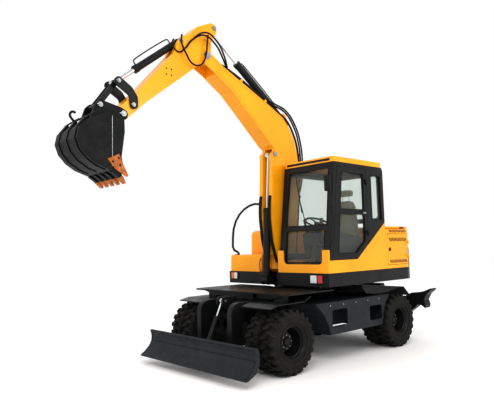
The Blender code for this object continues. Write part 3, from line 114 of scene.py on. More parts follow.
def surface(name, look):
    # colour drifts slowly over the panel, roughness drifts a little faster, and fine grain goes into the bump
    material, tree, shader, place = newMaterial(name)
    drift = spread(tree, noiseAt(tree, place, look["driftMm"]), 0.35, 0.65, 0.0, 1.0)
    colour = mixColours(tree, drift, look["colour"], look["otherColour"])
    tree.links.new(colour, shader.inputs["Base Color"])
    low, high = look["roughness"]
    patches = noiseAt(tree, place, look["patchMm"], 4)
    tree.links.new(spread(tree, patches, 0.3, 0.7, low, high), shader.inputs["Roughness"])
    grain = noiseAt(tree, place, look["grainMm"], 2)
    settings = {"Strength": look["bump"], "Distance": look["grainMm"] / 4000}
    bump = addNode(tree, "ShaderNodeBump", settings, {"Height": grain})
    tree.links.new(bump.outputs["Normal"], shader.inputs["Normal"])
    shader.inputs["Metallic"].default_value = look.get("metallic", 0.0)
    shader.inputs["Coat Weight"].default_value = look.get("coat", 0.0)
    shader.inputs["Coat Roughness"].default_value = 0.12
    shader.inputs["Specular IOR Level"].default_value = look.get("specular", 0.5)
    return material


# two-pack enamel sprayed on steel plate: a warm, glossy skin with a faint orange-peel ripple
enamelYellow = surface("sprayedYellowEnamel", {
    "colour": "F6AB10", "otherColour": "F0A30C", "driftMm": 600, "patchMm": 120, "roughness": (0.26, 0.36),
    "grainMm": 6, "bump": 0.05, "coat": 0.2, "specular": 0.35})
# powder-coated black steel: soft sheen, a fine sandy grain
powderBlack = surface("powderCoatedBlack", {
    "colour": "131415", "otherColour": "1A1B1C", "driftMm": 400, "patchMm": 90, "roughness": (0.34, 0.48),
    "grainMm": 3, "bump": 0.10, "specular": 0.3})
# dark grey chassis paint, duller, with dust caught in it
chassisGrey = surface("chassisPaintGrey", {
    "colour": "1C1F23", "otherColour": "24282C", "driftMm": 350, "patchMm": 80, "roughness": (0.42, 0.58),
    "grainMm": 4, "bump": 0.12, "specular": 0.3})
# digging steel under thick black paint: very dark, its low sheen dulled in patches
scuffedSteel = surface("scuffedDiggingSteel", {
    "colour": "08090A", "otherColour": "0F1011", "driftMm": 260, "patchMm": 90, "roughness": (0.36, 0.5),
    "grainMm": 4, "bump": 0.06, "specular": 0.22})
# carbon-filled tyre rubber: matt, with a dusty bloom
tyreRubber = surface("vulcanisedTyreRubber", {
    "colour": "191918", "otherColour": "242321", "driftMm": 120, "patchMm": 40, "roughness": (0.66, 0.85),
    "grainMm": 3, "bump": 0.2, "specular": 0.25})
# hose cover rubber: smoother than a tyre, a slight sheen; also the near-black painted shade in the vent slots
# and bolt holes
hoseRubber = surface("hoseCoverRubber", {
    "colour": "0E0E0E", "otherColour": "151515", "driftMm": 90, "patchMm": 25, "roughness": (0.45, 0.6),
    "grainMm": 2, "bump": 0.1, "specular": 0.25})
# hard chrome on ground rod: a near mirror
hardChrome = surface("hardChromedRod", {
    "colour": "D5D7D8", "otherColour": "C9CCCE", "driftMm": 200, "patchMm": 60, "roughness": (0.08, 0.16),
    "grainMm": 1.5, "bump": 0.02, "metallic": 1.0})
# zinc-plated pins and fittings: pale grey, brushed dull; also the pale painted highlight along the bucket
# mouth's plate edges
zincPlate = surface("zincPlatedSteel", {
    "colour": "A9ACAE", "otherColour": "94989A", "driftMm": 60, "patchMm": 20, "roughness": (0.3, 0.45),
    "grainMm": 2, "bump": 0.08, "metallic": 0.9})
# gloss black enamel on thin mudguard sheet: the smoothest of the blacks, pale along its edges
mudguardSheet = surface("glossBlackMudguard", {
    "colour": "1B1D1F", "otherColour": "25282A", "driftMm": 300, "patchMm": 120, "roughness": (0.28, 0.4),
    "grainMm": 4, "bump": 0.03, "specular": 0.3})
# sand-cast iron: rough skin under thin dark paint
castIron = surface("sandCastIron", {
    "colour": "17181A", "otherColour": "202123", "driftMm": 90, "patchMm": 30, "roughness": (0.5, 0.7),
    "grainMm": 4, "bump": 0.3, "metallic": 0.2, "specular": 0.3})
# moulded ABS trim with a leather-like grain
mouldedAbs = surface("mouldedBlackAbs", {
    "colour": "141415", "otherColour": "1B1B1C", "driftMm": 120, "patchMm": 40, "roughness": (0.5, 0.65),
    "grainMm": 2.5, "bump": 0.25, "specular": 0.3})
# injection-moulded red plastic: even colour under a soft sheen
redKnob = surface("mouldedRedKnob", {
    "colour": "B5271E", "otherColour": "A5221A", "driftMm": 50, "patchMm": 20, "roughness": (0.3, 0.4),
    "grainMm": 2, "bump": 0.05})
# tooth castings in burnt-orange primer, worn at the tips
toothPrimer = surface("orangePrimedTooth", {
    "colour": "BD6E26", "otherColour": "96561F", "driftMm": 45, "patchMm": 20, "roughness": (0.45, 0.65),
    "grainMm": 3, "bump": 0.25})
# acrylic lamp lenses: hard and glossy, with a small sharp highlight
redLens = surface("redLampLens", {
    "colour": "C4241B", "otherColour": "B41E17", "driftMm": 30, "patchMm": 12, "roughness": (0.1, 0.18),
    "grainMm": 3, "bump": 0.1, "coat": 0.6})
amberLens = surface("amberLampLens", {
    "colour": "E8781A", "otherColour": "DD6E14", "driftMm": 30, "patchMm": 12, "roughness": (0.1, 0.18),
    "grainMm": 3, "bump": 0.1, "coat": 0.6})
# the clear lens, ribbed inside, which looks near white in daylight
clearLens = surface("clearLampLens", {
    "colour": "E3E6E8", "otherColour": "CDD2D6", "driftMm": 25, "patchMm": 12, "roughness": (0.05, 0.12),
    "grainMm": 6, "bump": 0.2, "coat": 0.8})


def wovenCloth(name, look):
    # plain weave: two sets of ridges crossing, drawn coarser than thread so that it shows
    material, tree, shader, place = newMaterial(name)
    waves = []
    for direction in ("X", "Z"):
        settings = {"Scale": 1000 / look["threadMm"] / 6.28, "Distortion": 0.4, "bands_direction": direction}
        waves.append(addNode(tree, "ShaderNodeTexWave", settings, {"Vector": place}).outputs["Fac"])
    height = addNode(tree, "ShaderNodeMath", {"operation": "MULTIPLY"}, {0: waves[0], 1: waves[1]})
    drift = spread(tree, noiseAt(tree, place, look["driftMm"]), 0.35, 0.65, 0.0, 1.0)
    tree.links.new(mixColours(tree, drift, look["colour"], look["otherColour"]), shader.inputs["Base Color"])
    settings = {"Strength": 0.4, "Distance": 0.001}
    bump = addNode(tree, "ShaderNodeBump", settings, {"Height": height.outputs[0]})
    tree.links.new(bump.outputs["Normal"], shader.inputs["Normal"])
    shader.inputs["Roughness"].default_value = 0.9
    shader.inputs["Sheen Weight"].default_value = 0.3
    return material


# woven seat cloth: olive-beige, matt, slightly furry at the edges
seatCloth = wovenCloth("wovenSeatCloth", {
    "colour": "8E8B6C", "otherColour": "7E7B5E", "threadMm": 8, "driftMm": 90})


def cabGlass():
    # float glass with a faint green tint: clear to look through, with a crisp reflection
    material, tree, shader, place = newMaterial("tintedFloatGlass")
    shader.inputs["Base Color"].default_value = hexToLinear("ECF1EE")
    shader.inputs["Transmission Weight"].default_value = 0.95
    shader.inputs["IOR"].default_value = 1.1
    dust = spread(tree, noiseAt(tree, place, 180, 4), 0.4, 0.75, 0.02, 0.12)
    tree.links.new(dust, shader.inputs["Roughness"])
    return material


floatGlass = cabGlass()
print("materials made")


# mesh helpers

def place(x, y, z):
    return start + Vector((x, y, z))


def sideName(side):
    return "Left" if side > 0 else "Right"


def keep(obj, body, material):
    obj.data.materials.clear()
    obj.data.materials.append(material)
    if body:
        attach(obj, body)
    return obj


def fromBmesh(name, bm, body, material, smooth=35, bevel=0.0, segments=2):
    mesh = bpy.data.meshes.new(name)
    bmesh.ops.recalc_face_normals(bm, faces=bm.faces)
    bm.to_mesh(mesh)
    bm.free()
    mesh.shade_smooth()
    mesh.set_sharp_from_angle(angle=math.radians(smooth))
    obj = bpy.data.objects.new(name, mesh)
    bpy.context.scene.collection.objects.link(obj)
    if bevel:
        addBevel(obj, bevel, segments)
    return keep(obj, body, material)


def addBevel(obj, width, segments=2):
    bevel = obj.modifiers.new("roundedEdges", "BEVEL")
    bevel.width = width
    bevel.segments = segments
    bevel.limit_method = "ANGLE"
    bevel.angle_limit = math.radians(35)
    bevel.harden_normals = True


def addBox(bm, low, high, turn=None):
    made = bmesh.ops.create_cube(bm, size=1.0)["verts"]
    size = Vector(high) - Vector(low)
    middle = (Vector(high) + Vector(low)) / 2
    for vertex in made:
        vertex.co = Vector((vertex.co.x * size.x, vertex.co.y * size.y, vertex.co.z * size.z))
        if turn:
            vertex.co = turn @ vertex.co
        vertex.co += middle + start


def addRod(bm, a, b, radius, sides=24):
    a, b = place(*a), place(*b)
    along = b - a
    made = bmesh.ops.create_cone(bm, cap_ends=True, segments=sides, radius1=radius, radius2=radius,
                                 depth=along.length)["verts"]
    matrix = Matrix.Translation((a + b) / 2) @ along.to_track_quat("Z", "Y").to_matrix().to_4x4()
    bmesh.ops.transform(bm, matrix=matrix, verts=made)


def boxPiece(name, low, high, body, material, bevel=0.003, turn=None):
    bm = bmesh.new()
    addBox(bm, low, high, turn)
    return fromBmesh(name, bm, body, material, bevel=bevel)


def boxesPiece(name, spans, body, material, bevel=0.002):
    bm = bmesh.new()
    for low, high in spans:
        addBox(bm, low, high)
    return fromBmesh(name, bm, body, material, bevel=bevel)


def rodsPiece(name, rods, body, material, sides=24, bevel=0.002):
    bm = bmesh.new()
    for a, b, radius in rods:
        addRod(bm, a, b, radius, sides)
    return fromBmesh(name, bm, body, material, bevel=bevel)


def hosePiece(name, points, radius, material, body=None, between=None):
    # a smooth run through a few given points
    curve = bpy.data.curves.new(name, "CURVE")
    curve.dimensions = "3D"
    curve.bevel_depth = radius
    curve.bevel_resolution = 4
    curve.resolution_u = 10
    curve.use_fill_caps = True
    spline = curve.splines.new("BEZIER")
    spline.bezier_points.add(len(points) - 1)
    for knot, spot in zip(spline.bezier_points, points):
        knot.co = place(*spot)
        knot.handle_left_type = "AUTO"
        knot.handle_right_type = "AUTO"
    shape = bpy.data.objects.new(name + "Curve", curve)
    bpy.context.scene.collection.objects.link(shape)
    mesh = bpy.data.meshes.new_from_object(shape.evaluated_get(bpy.context.evaluated_depsgraph_get()))
    bpy.data.objects.remove(shape)
    bm = bmesh.new()
    bm.from_mesh(mesh)
    bmesh.ops.remove_doubles(bm, verts=bm.verts, dist=0.00001)
    if between:
        made = fromBmesh(name, bm, None, material)
        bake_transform(made)
        return made
    return fromBmesh(name, bm, body, material)


def outlinePiece(name, outline, low, high, body, material, plane="XZ", bevel=0.002):
    bm = bmesh.new()
    rings = []
    for depth in (low, high):
        ring = []
        for a, b in outline:
            spot = (a, depth, b) if plane == "XZ" else (depth, a, b)
            ring.append(bm.verts.new(place(*spot)))
        rings.append(ring)
    bm.faces.new(rings[0])
    bm.faces.new(list(reversed(rings[1])))
    for i in range(len(outline)):
        j = (i + 1) % len(outline)
        bm.faces.new((rings[0][i], rings[1][i], rings[1][j], rings[0][j]))
    bmesh.ops.triangulate(bm, faces=[f for f in bm.faces if len(f.verts) > 4])
    return fromBmesh(name, bm, body, material, bevel=bevel)


def turnedPiece(name, profile, centre, body, material, steps=96, smooth=35):
    # profile of (radius, distance along Y) turned about the wheel's axle
    bm = bmesh.new()
    rings = []
    for k in range(steps):
        sine, cosine = math.sin(2 * math.pi * k / steps), math.cos(2 * math.pi * k / steps)
        rings.append([bm.verts.new(place(centre[0] + r * sine, centre[1] + y, centre[2] + r * cosine))
                      for r, y in profile])
    for k in range(steps):
        first, second = rings[k], rings[(k + 1) % steps]
        for i in range(len(profile)):
            j = (i + 1) % len(profile)
            bm.faces.new((first[i], first[j], second[j], second[i]))
    return fromBmesh(name, bm, body, material, smooth)


# the CAD pieces that show: each one's finish, and how far its edges are rounded

finishes = {
    "engine_bay": (enamelYellow, 0.006), "service_door": (enamelYellow, 0.005),
    "engine_hood": (enamelYellow, 0.01), "fuel_tank": (enamelYellow, 0.012),
    "front_cover": (enamelYellow, 0.010), "cab_base": (enamelYellow, 0.004),
    "cab_roof": (enamelYellow, 0.004), "boom": (enamelYellow, 0.006), "arm": (enamelYellow, 0.005),
    "blade": (chassisGrey, 0.002),
    "left_side_box": (chassisGrey, 0.005), "right_side_box": (chassisGrey, 0.005),
    "chassis_frame": (powderBlack, 0.004), "front_deck": (powderBlack, 0.002),
    "rear_deck": (powderBlack, 0.002), "platform": (powderBlack, 0.006),
    "counterweight": (powderBlack, 0.012), "cab_frame": (powderBlack, 0.004),
    "cab_door": (powderBlack, 0.004), "handrail": (powderBlack, 0), "bucket": (scuffedSteel, 0.002),
    "guide_links": (powderBlack, 0.002), "bucket_link": (powderBlack, 0.002),
    "left_stabiliser": (powderBlack, 0.003), "right_stabiliser": (powderBlack, 0.003),
    "front_axle": (castIron, 0.004), "rear_axle": (castIron, 0.004), "drive_shaft": (castIron, 0.003),
    "front_left_knuckle": (castIron, 0.003), "front_right_knuckle": (castIron, 0.003),
    "slew_ring": (castIron, 0.003), "engine": (castIron, 0.01), "cab_controls": (mouldedAbs, 0.003),
}
for name, node in nodes.items():
    if name.endswith("_tube"):
        material, width = powderBlack, 0.002
    elif name.endswith("_rod"):
        material, width = hardChrome, 0.001
    elif name.endswith("_hub"):
        material, width = powderBlack, 0.004
    elif name.endswith(("_window", "_glass")) or name == "windscreen":
        material, width = floatGlass, 0
    else:
        material, width = finishes.get(name, (powderBlack, 0.002))
    node.data.materials.clear()
    node.data.materials.append(material)
    node.data.shade_smooth()
    node.data.set_sharp_from_angle(angle=math.radians(32))
    if width:
        addBevel(node, width, 2 if width > 0.003 else 1)


def repaint(node, material, test):
    mesh = nodes[node].data
    mesh.materials.append(material)
    index = len(mesh.materials) - 1
    for face in mesh.polygons:
        if test(face.center - start):
            face.material_index = index


def isMudguard(spot):
    # the thin flaps over the front wheels, outside the deck's beams
    return abs(spot.y) > 0.415 and spot.x > 0.79 and spot.z < 0.97 and abs(spot.y) < 0.981


repaint("front_deck", mudguardSheet, isMudguard)
# the rear deck's bent end
repaint("rear_deck", mudguardSheet, lambda spot: spot.x < -1.56)
print("cad pieces painted")


# tyres, rims and hubs

# radii from the axle, and distances from the machine's middle line
wheel = {"tread": axleZ - 0.0008, "width": 0.235, "gap": 0.04, "outer": 1.087, "rim": 0.205, "lugs": 22,
         "lugDepth": 0.03, "disc": 0.815, "nuts": 10, "nutCircle": 0.152, "hubBolts": 8, "hubCircle": 0.085}


def tyreProfile(middle):
    # from the bead over the side wall to the shoulder, as (radius, share of the half width)
    half = wheel["width"] / 2
    base = wheel["tread"] - wheel["lugDepth"]
    outer = [(wheel["rim"] - 0.002, 0.72), (0.216, 0.80), (0.232, 0.915), (0.262, 0.972), (0.300, 0.998),
             (0.335, 0.985), (0.362, 0.945), (0.376, 0.90), (base - 0.004, 0.80), (base, 0.55)]
    left = [(radius, middle - share * half) for radius, share in outer]
    right = [(radius, middle + share * half) for radius, share in reversed(outer)]
    return left + right


def addLug(bm, centre, middle, angle, side):
    # one block of the tread: from the middle of the crown out over the shoulder, leaning forwards
    half = wheel["width"] / 2
    top, low = wheel["tread"], wheel["tread"] - wheel["lugDepth"] - 0.006
    pitch = 2 * math.pi / wheel["lugs"]
    # share of the half width, lean and half length in pitches, and the top's radius
    rows = [(-0.06, 0.0, top, 0.20), (0.50, 0.10, top, 0.23), (0.80, 0.20, top - 0.002, 0.26),
            (0.915, 0.24, top - 0.020, 0.27), (0.975, 0.27, top - 0.052, 0.26)]
    bottoms = [low, low, low - 0.004, low - 0.022, top - 0.064]
    rings = []
    for (share, lean, radius, wide), bottom in zip(rows, bottoms):
        ring = []
        for turn, r in ((-wide, bottom), (wide, bottom), (wide * 0.86, radius), (-wide * 0.86, radius)):
            a = angle + pitch * (lean + turn)
            y = middle + side * share * half - (0 if r > bottom else side * 0.006)
            ring.append(bm.verts.new(place(centre[0] + r * math.sin(a), y, centre[2] + r * math.cos(a))))
        rings.append(ring)
    for first, second in zip(rings, rings[1:]):
        for i in range(4):
            j = (i + 1) % 4
            bm.faces.new((first[i], first[j], second[j], second[i]))
    bm.faces.new(rings[0])
    bm.faces.new(list(reversed(rings[-1])))


def makeWheel(name, x, side):
    centre = (x, 0, axleZ)
    body = name + "_wheel"
    inner = wheel["outer"] - 1.5 * wheel["width"] - wheel["gap"]
    outer = wheel["outer"] - 0.5 * wheel["width"]
    tyres = []
    for label, middle in (("Inner", inner), ("Outer", outer)):
        profile = [(r, side * y) for r, y in tyreProfile(middle)]
        tyres.append(turnedPiece(name + label + "Tyre", profile, centre, body, tyreRubber))
        bm = bmesh.new()
        for k in range(wheel["lugs"]):
            angle = 2 * math.pi * k / wheel["lugs"]
            addLug(bm, centre, side * middle, angle, 1)
            addLug(bm, centre, side * middle, angle + math.pi / wheel["lugs"], -1)
        fromBmesh(name + label + "Tread", bm, body, tyreRubber, bevel=0.0015, segments=1)
    # raised rings on the side wall
    for radius in (0.25, 0.318):
        shape = [(radius - 0.003, side * (outer + 0.112)), (radius, side * (outer + 0.1195)),
                 (radius + 0.003, side * (outer + 0.112))]
        turnedPiece(name + "SideRing%d" % round(radius * 1000), shape, centre, body, tyreRubber)
    # pressed rim: rolled lip, well and deep dish down to the hub
    bore = wheel["rim"] - 0.014
    lip = outer + 0.092
    rim = [(bore, side * (inner - 0.085)), (wheel["rim"], side * (inner - 0.09)),
           (wheel["rim"], side * (lip - 0.01)), (0.212, side * (lip - 0.004)), (0.222, side * lip),
           (0.224, side * (lip + 0.009)), (0.216, side * (lip + 0.013)), (0.206, side * (lip + 0.006)),
           (0.197, side * (lip - 0.014)), (bore, side * (lip - 0.03))]
    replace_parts(turnedPiece(name + "Rim", rim, centre, body, powderBlack), name + "_tyres")
    lock = [(bore + 0.001, side * (lip - 0.05)), (bore - 0.008, side * (lip - 0.045)),
            (bore - 0.010, side * (lip - 0.035)), (bore + 0.001, side * (lip - 0.028))]
    turnedPiece(name + "LockRing", lock, centre, body, powderBlack)
    # wheel nuts and the planetary cover's bolts
    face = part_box(name + "_hub")
    discOut = wheel["disc"] * side
    noseOut = face[1].y if side > 0 else face[0].y
    nuts = []
    for k in range(wheel["nuts"]):
        a = 2 * math.pi * (k + 0.5) / wheel["nuts"]
        spot = (x + wheel["nutCircle"] * math.sin(a), axleZ + wheel["nutCircle"] * math.cos(a))
        nuts.append(((spot[0], discOut, spot[1]), (spot[0], discOut + side * 0.022, spot[1]), 0.016))
        nuts.append(((spot[0], discOut, spot[1]), (spot[0], discOut + side * 0.036, spot[1]), 0.009))
    rodsPiece(name + "WheelNuts", nuts, body, zincPlate, sides=6, bevel=0.001)
    bolts = []
    for k in range(wheel["hubBolts"]):
        a = 2 * math.pi * k / wheel["hubBolts"]
        spot = (x + wheel["hubCircle"] * math.sin(a), axleZ + wheel["hubCircle"] * math.cos(a))
        bolts.append(((spot[0], noseOut - side * 0.002, spot[1]),
                      (spot[0], noseOut + side * 0.008, spot[1]), 0.009))
    rodsPiece(name + "HubBolts", bolts, body, zincPlate, sides=6, bevel=0.001)
    cap = [(0.0005, noseOut + side * 0.022), (0.045, noseOut + side * 0.020), (0.056, noseOut + side * 0.010),
           (0.06, noseOut - side * 0.004), (0.0005, noseOut - side * 0.004)]
    turnedPiece(name + "HubCap", cap, centre, body, powderBlack, 48)


for name, x, side in (("front_left", halfBase, 1), ("front_right", halfBase, -1),
                      ("rear_left", -halfBase, 1), ("rear_right", -halfBase, -1)):
    makeWheel(name, x, side)
print("wheels made")


# seat

seat = {"y": 0.57, "half": 0.235, "headHalf": 0.13, "postGap": 0.06, "leverGap": 0.30}


def cushion(name, low, high, crown, tilt=0.0, seamAt=0.62, seamWidth=0.07, seamDepth=0.06):
    # a box rounded by subdivision, its broad face crowned, its edges pulled in and a seam sewn down each side
    bm = bmesh.new()
    bmesh.ops.create_cube(bm, size=2.0)
    bmesh.ops.subdivide_edges(bm, edges=bm.edges, cuts=5, use_grid_fill=True)
    size = (Vector(high) - Vector(low)) / 2
    middle = (Vector(high) + Vector(low)) / 2
    for vertex in bm.verts:
        p = vertex.co.copy()
        flat = [abs(c) ** 4 for c in p]
        pull = 1 - 0.09 * sum(sorted(flat)[:2])
        swell = crown * max(0.0, 1 - p.y ** 2)
        seam = seamDepth * math.exp(-((abs(p.y) - seamAt) / seamWidth) ** 2)
        q = Vector((p.x * size.x, p.y * size.y, p.z * size.z)) * pull
        if p.z > 0.5:
            q.z += size.z * (swell * (1 - p.x ** 2) - seam)
        q.rotate(Matrix.Rotation(tilt, 3, "Y"))
        vertex.co = q + middle + start
    made = fromBmesh(name, bm, "upper", seatCloth, smooth=80)
    smooth = made.modifiers.new("softForm", "SUBSURF")
    smooth.levels = 1
    smooth.render_levels = 1
    return made


y0, y1 = seat["y"] - seat["half"], seat["y"] + seat["half"]
seatBase = cushion("seatCushion", (-0.56, y0, 1.63), (0.0, y1, 1.765), 0.25)
seatBack = cushion("seatBack", (-0.88, y0 + 0.01, 1.985), (-0.28, y1 - 0.01, 2.105), 0.2, math.radians(98))
headRest = cushion("headrest", (-0.68, seat["y"] - seat["headHalf"], 2.42),
                   (-0.57, seat["y"] + seat["headHalf"], 2.52), 0.1)
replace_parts(seatBase, "seat")
for side in (-1, 1):
    spot = seat["y"] + side * seat["postGap"]
    rodsPiece("headrestPost%s" % sideName(side),
              [((-0.64, spot, 2.26), (-0.63, spot, 2.44), 0.006)], "upper", zincPlate, sides=12, bevel=0)
print("seat made")


# cab details

cab = {"frontAtSill": 0.452, "lean": 0.126, "sill": 1.43, "gasketY": 1.058, "gasketX": 0.449}


def cabFront(z):
    return cab["frontAtSill"] - cab["lean"] * (z - cab["sill"])


# wiper: pivot at the bottom of the upper pane, its arm leaning to the middle
wiperFoot = (cabFront(1.93) + 0.012, 0.60, 1.93)
wiperTip = (cabFront(2.42) + 0.022, 0.42, 2.42)
rodsPiece("wiperArm", [(wiperFoot, wiperTip, 0.006), ((cabFront(1.93) - 0.02, 0.60, 1.93), wiperFoot, 0.016)],
          "upper", powderBlack, sides=12, bevel=0.001)
rodsPiece("wiperBlade", [((cabFront(2.14) + 0.012, 0.50, 2.14), (cabFront(2.68) + 0.012, 0.35, 2.68), 0.007)],
          "upper", hoseRubber, sides=10, bevel=0)
# mirror on a bent arm from the left front post
mirrorFoot = cabFront(2.2)
hosePiece("mirrorArm", [(mirrorFoot, 1.045, 2.2), (mirrorFoot + 0.05, 1.065, 2.22),
                        (mirrorFoot + 0.06, 1.075, 2.32), (mirrorFoot + 0.05, 1.075, 2.50)],
          0.009, powderBlack, "upper")
mirrorX = mirrorFoot + 0.055
boxPiece("mirrorCase", (mirrorX - 0.02, 0.985, 2.42), (mirrorX + 0.025, 1.085, 2.64),
         "upper", mouldedAbs, 0.012)
boxPiece("mirrorGlass", (mirrorX - 0.023, 0.995, 2.43), (mirrorX - 0.019, 1.075, 2.63),
         "upper", hardChrome, 0.001)
# grab rail beside the door
hosePiece("cabGrabRail", [(cabFront(1.62) - 0.01, 1.055, 1.62), (cabFront(1.62) + 0.012, 1.085, 1.66),
                          (cabFront(1.9) + 0.008, 1.088, 1.9), (cabFront(2.12) + 0.004, 1.085, 2.10),
                          (cabFront(2.15) - 0.01, 1.055, 2.14)], 0.011, powderBlack, "upper")
# door handle on its plate
boxPiece("doorHandlePlate", (-0.462, 1.058, 2.085), (-0.36, 1.066, 2.165), "cab_door", mouldedAbs, 0.003)
boxPiece("doorHandle", (-0.45, 1.064, 2.11), (-0.375, 1.082, 2.135), "cab_door", zincPlate, 0.006)


def gasket(name, outline, depth, body, plane="XZ"):
    # rubber strip round a pane; in the YZ plane it leans with the windscreen
    bm = bmesh.new()
    for i, first in enumerate(outline):
        second = outline[(i + 1) % len(outline)]
        spots = [(a, depth, b) if plane == "XZ" else (depth - cab["lean"] * (b - cab["sill"]), a, b)
                 for a, b in (first, second)]
        addRod(bm, spots[0], spots[1], 0.007, 8)
    return fromBmesh(name, bm, body, hoseRubber)


doorUpper = [(cabFront(2.17) - 0.19, 2.17), (cabFront(2.72) - 0.18, 2.72), (-0.43, 2.72), (-0.43, 2.17)]
doorLower = [(cabFront(1.52) - 0.19, 1.52), (cabFront(2.10) - 0.19, 2.10), (-0.43, 2.10), (-0.43, 1.70),
             (-0.20, 1.52)]
quarter = [(-0.63, 2.02), (-0.63, 2.72), (-0.88, 2.72), (-0.90, 2.02)]
screenUpper = [(0.17, 1.94), (0.97, 1.94), (0.96, 2.77), (0.19, 2.77)]
screenLower = [(0.20, 1.40), (0.94, 1.40), (0.94, 1.87), (0.20, 1.87)]
gasket("doorUpperGasket", doorUpper, cab["gasketY"], "cab_door")
gasket("doorLowerGasket", doorLower, cab["gasketY"], "cab_door")
gasket("quarterGasket", quarter, cab["gasketY"], "upper")
gasket("windscreenUpperGasket", screenUpper, cab["gasketX"], "upper", "YZ")
gasket("windscreenLowerGasket", screenLower, cab["gasketX"], "upper", "YZ")
# lever knobs, and the panel behind the steering column
for side in (-1, 1):
    spot = seat["y"] + side * seat["leverGap"]
    bm = bmesh.new()
    bmesh.ops.create_uvsphere(bm, u_segments=16, v_segments=10, radius=0.028)
    bmesh.ops.translate(bm, verts=bm.verts, vec=place(0.052, spot, 2.035))
    fromBmesh("leverKnob%s" % sideName(side), bm, "upper", redKnob, smooth=80)
boxPiece("dashPanel", (0.12, 0.43, 1.66), (0.24, 0.71, 1.86), "upper", mouldedAbs, 0.02,
         Matrix.Rotation(0.4, 3, "Y"))
# dark strip let into the roof's front edge
roofFront = cabFront(2.86) + 0.015
boxPiece("roofFrontStrip", (roofFront - 0.01, 0.15, 2.880), (roofFront + 0.003, 0.99, 2.915),
         "upper", powderBlack, 0.001)
print("cab detailed")


# engine housing: vent slots filled with near-black slabs of painted shade, lock, handle, exhaust, lamps and
# caps

ventSlot = {"front": -1.08, "rear": -1.60, "count": 12, "width": 0.023, "lean": 0.018, "y": 1.056}
# each vent slot is filled with a near-black slab that stands in for the shade inside the opening: painted
# shade
for label, low, high, body in (("Top", 1.825, 1.868, "upper"), ("Middle", 1.68, 1.74, "service_door"),
                               ("Low", 1.335, 1.385, "service_door")):
    bm = bmesh.new()
    step = (ventSlot["rear"] - ventSlot["front"]) / ventSlot["count"]
    for k in range(ventSlot["count"]):
        x = ventSlot["front"] + step * (k + 0.5)
        half, lean = ventSlot["width"] / 2, ventSlot["lean"]
        spots = [(x - half - lean, low), (x + half - lean, low), (x + half + lean, high),
                 (x - half + lean, high)]
        near = [bm.verts.new(place(a, ventSlot["y"] + 0.0012, b)) for a, b in spots]
        far = [bm.verts.new(place(a, ventSlot["y"] - 0.012, b)) for a, b in spots]
        bm.faces.new(near)
        bm.faces.new(list(reversed(far)))
        for i in range(4):
            j = (i + 1) % 4
            bm.faces.new((near[i], far[i], far[j], near[j]))
    fromBmesh("louvres" + label, bm, body, hoseRubber)
boxPiece("serviceLock", (-1.115, 1.055, 1.53), (-1.065, 1.066, 1.58), "service_door", mouldedAbs, 0.004)
boxPiece("hoodHandle", (-1.52, 1.03, 1.895), (-1.42, 1.062, 1.915), "engine_hood", mouldedAbs, 0.006)
rodsPiece("exhaustPipe", [((-1.45, -0.62, 1.92), (-1.45, -0.62, 2.16), 0.038),
                          ((-1.45, -0.62, 1.92), (-1.45, -0.62, 1.95), 0.055)],
          "engine_hood", castIron, bevel=0.003)
# lamps in the skirt's left front corner: a white lens, and a red one beside it
boxPiece("leftLampCase", (0.475, 0.715, 1.095), (0.500, 0.965, 1.235), "upper", mouldedAbs, 0.008)
boxPiece("leftLampLens", (0.498, 0.73, 1.11), (0.508, 0.845, 1.22), "upper", clearLens, 0.004)
boxPiece("leftLampRed", (0.498, 0.862, 1.11), (0.508, 0.95, 1.22), "upper", redLens, 0.004)
# red line beside the boom's foot
hosePiece("redLine", [(0.463, -0.33, 1.46), (0.495, -0.32, 1.40), (0.50, -0.31, 1.30), (0.485, -0.30, 1.22)],
          0.008, redKnob, "upper")
# front lamp on the right corner of the skirt
boxPiece("frontLampCase", (0.475, -1.01, 1.115), (0.500, -0.84, 1.245), "upper", mouldedAbs, 0.008)
boxPiece("frontLampLens", (0.498, -0.93, 1.13), (0.508, -0.855, 1.23), "upper", clearLens, 0.004)
boxPiece("frontLampAmber", (0.498, -1.0, 1.13), (0.508, -0.937, 1.23), "upper", amberLens, 0.004)
# tank cap
rodsPiece("tankCap", [((-0.35, -0.72, 1.93), (-0.35, -0.72, 1.965), 0.05),
                      ((-0.35, -0.72, 1.93), (-0.35, -0.72, 1.94), 0.065)], "upper", mouldedAbs)
# handrail feet
rodsPiece("handrailFeet", [((0.39, -1.0, 1.52), (0.39, -1.0, 1.528), 0.03),
                           ((-0.61, -1.0, 1.93), (-0.61, -1.0, 1.938), 0.03)], "upper", powderBlack)
print("housing detailed")


# boom, arm and bucket: pins, pipes, hoses, wear parts

def pinPair(name, x, z, half, radius, body):
    # a pin's two end plates with their keeper bolts, seen on both sides
    rods = []
    for side in (-1, 1):
        y = boomY + side * half
        rods.append(((x, y - side * 0.004, z), (x, y + side * 0.012, z), radius))
        rods.append(((x, y, z), (x, y + side * 0.018, z), radius * 0.55))
        keeper = x + radius * 1.25
        rods.append(((keeper, y - side * 0.004, z), (keeper, y + side * 0.010, z), radius * 0.22))
    rodsPiece(name, rods, body, zincPlate, bevel=0.002)


pinPair("boomFootPin", 0.22, 1.38, 0.18, 0.05, "upper")
pinPair("boomCylinderPin", 0.43, 3.10, 0.14, 0.042, "boom")
pinPair("armPivotPin", 1.76, 4.39, 0.14, 0.055, "boom")
pinPair("armCylinderPin", 1.60, 4.84, 0.11, 0.036, "arm")
pinPair("bucketCylinderPin", 2.189, 4.513, 0.11, 0.034, "arm")
pinPair("bucketPin", 3.10, 3.33, 0.144, 0.038, "bucket")
pinPair("bucketEarPin", 3.41, 3.395, 0.144, 0.032, "bucket")
pinPair("guidePin", 2.954, 3.469, 0.138, 0.028, "guide_links")
pinPair("linkPin", 3.16, 3.74, 0.138, 0.028, "guide_links")
rodsPiece("bladeLiftPin", [((1.55, -0.078, 0.91), (1.55, 0.078, 0.91), 0.02)], "chassis", zincPlate)

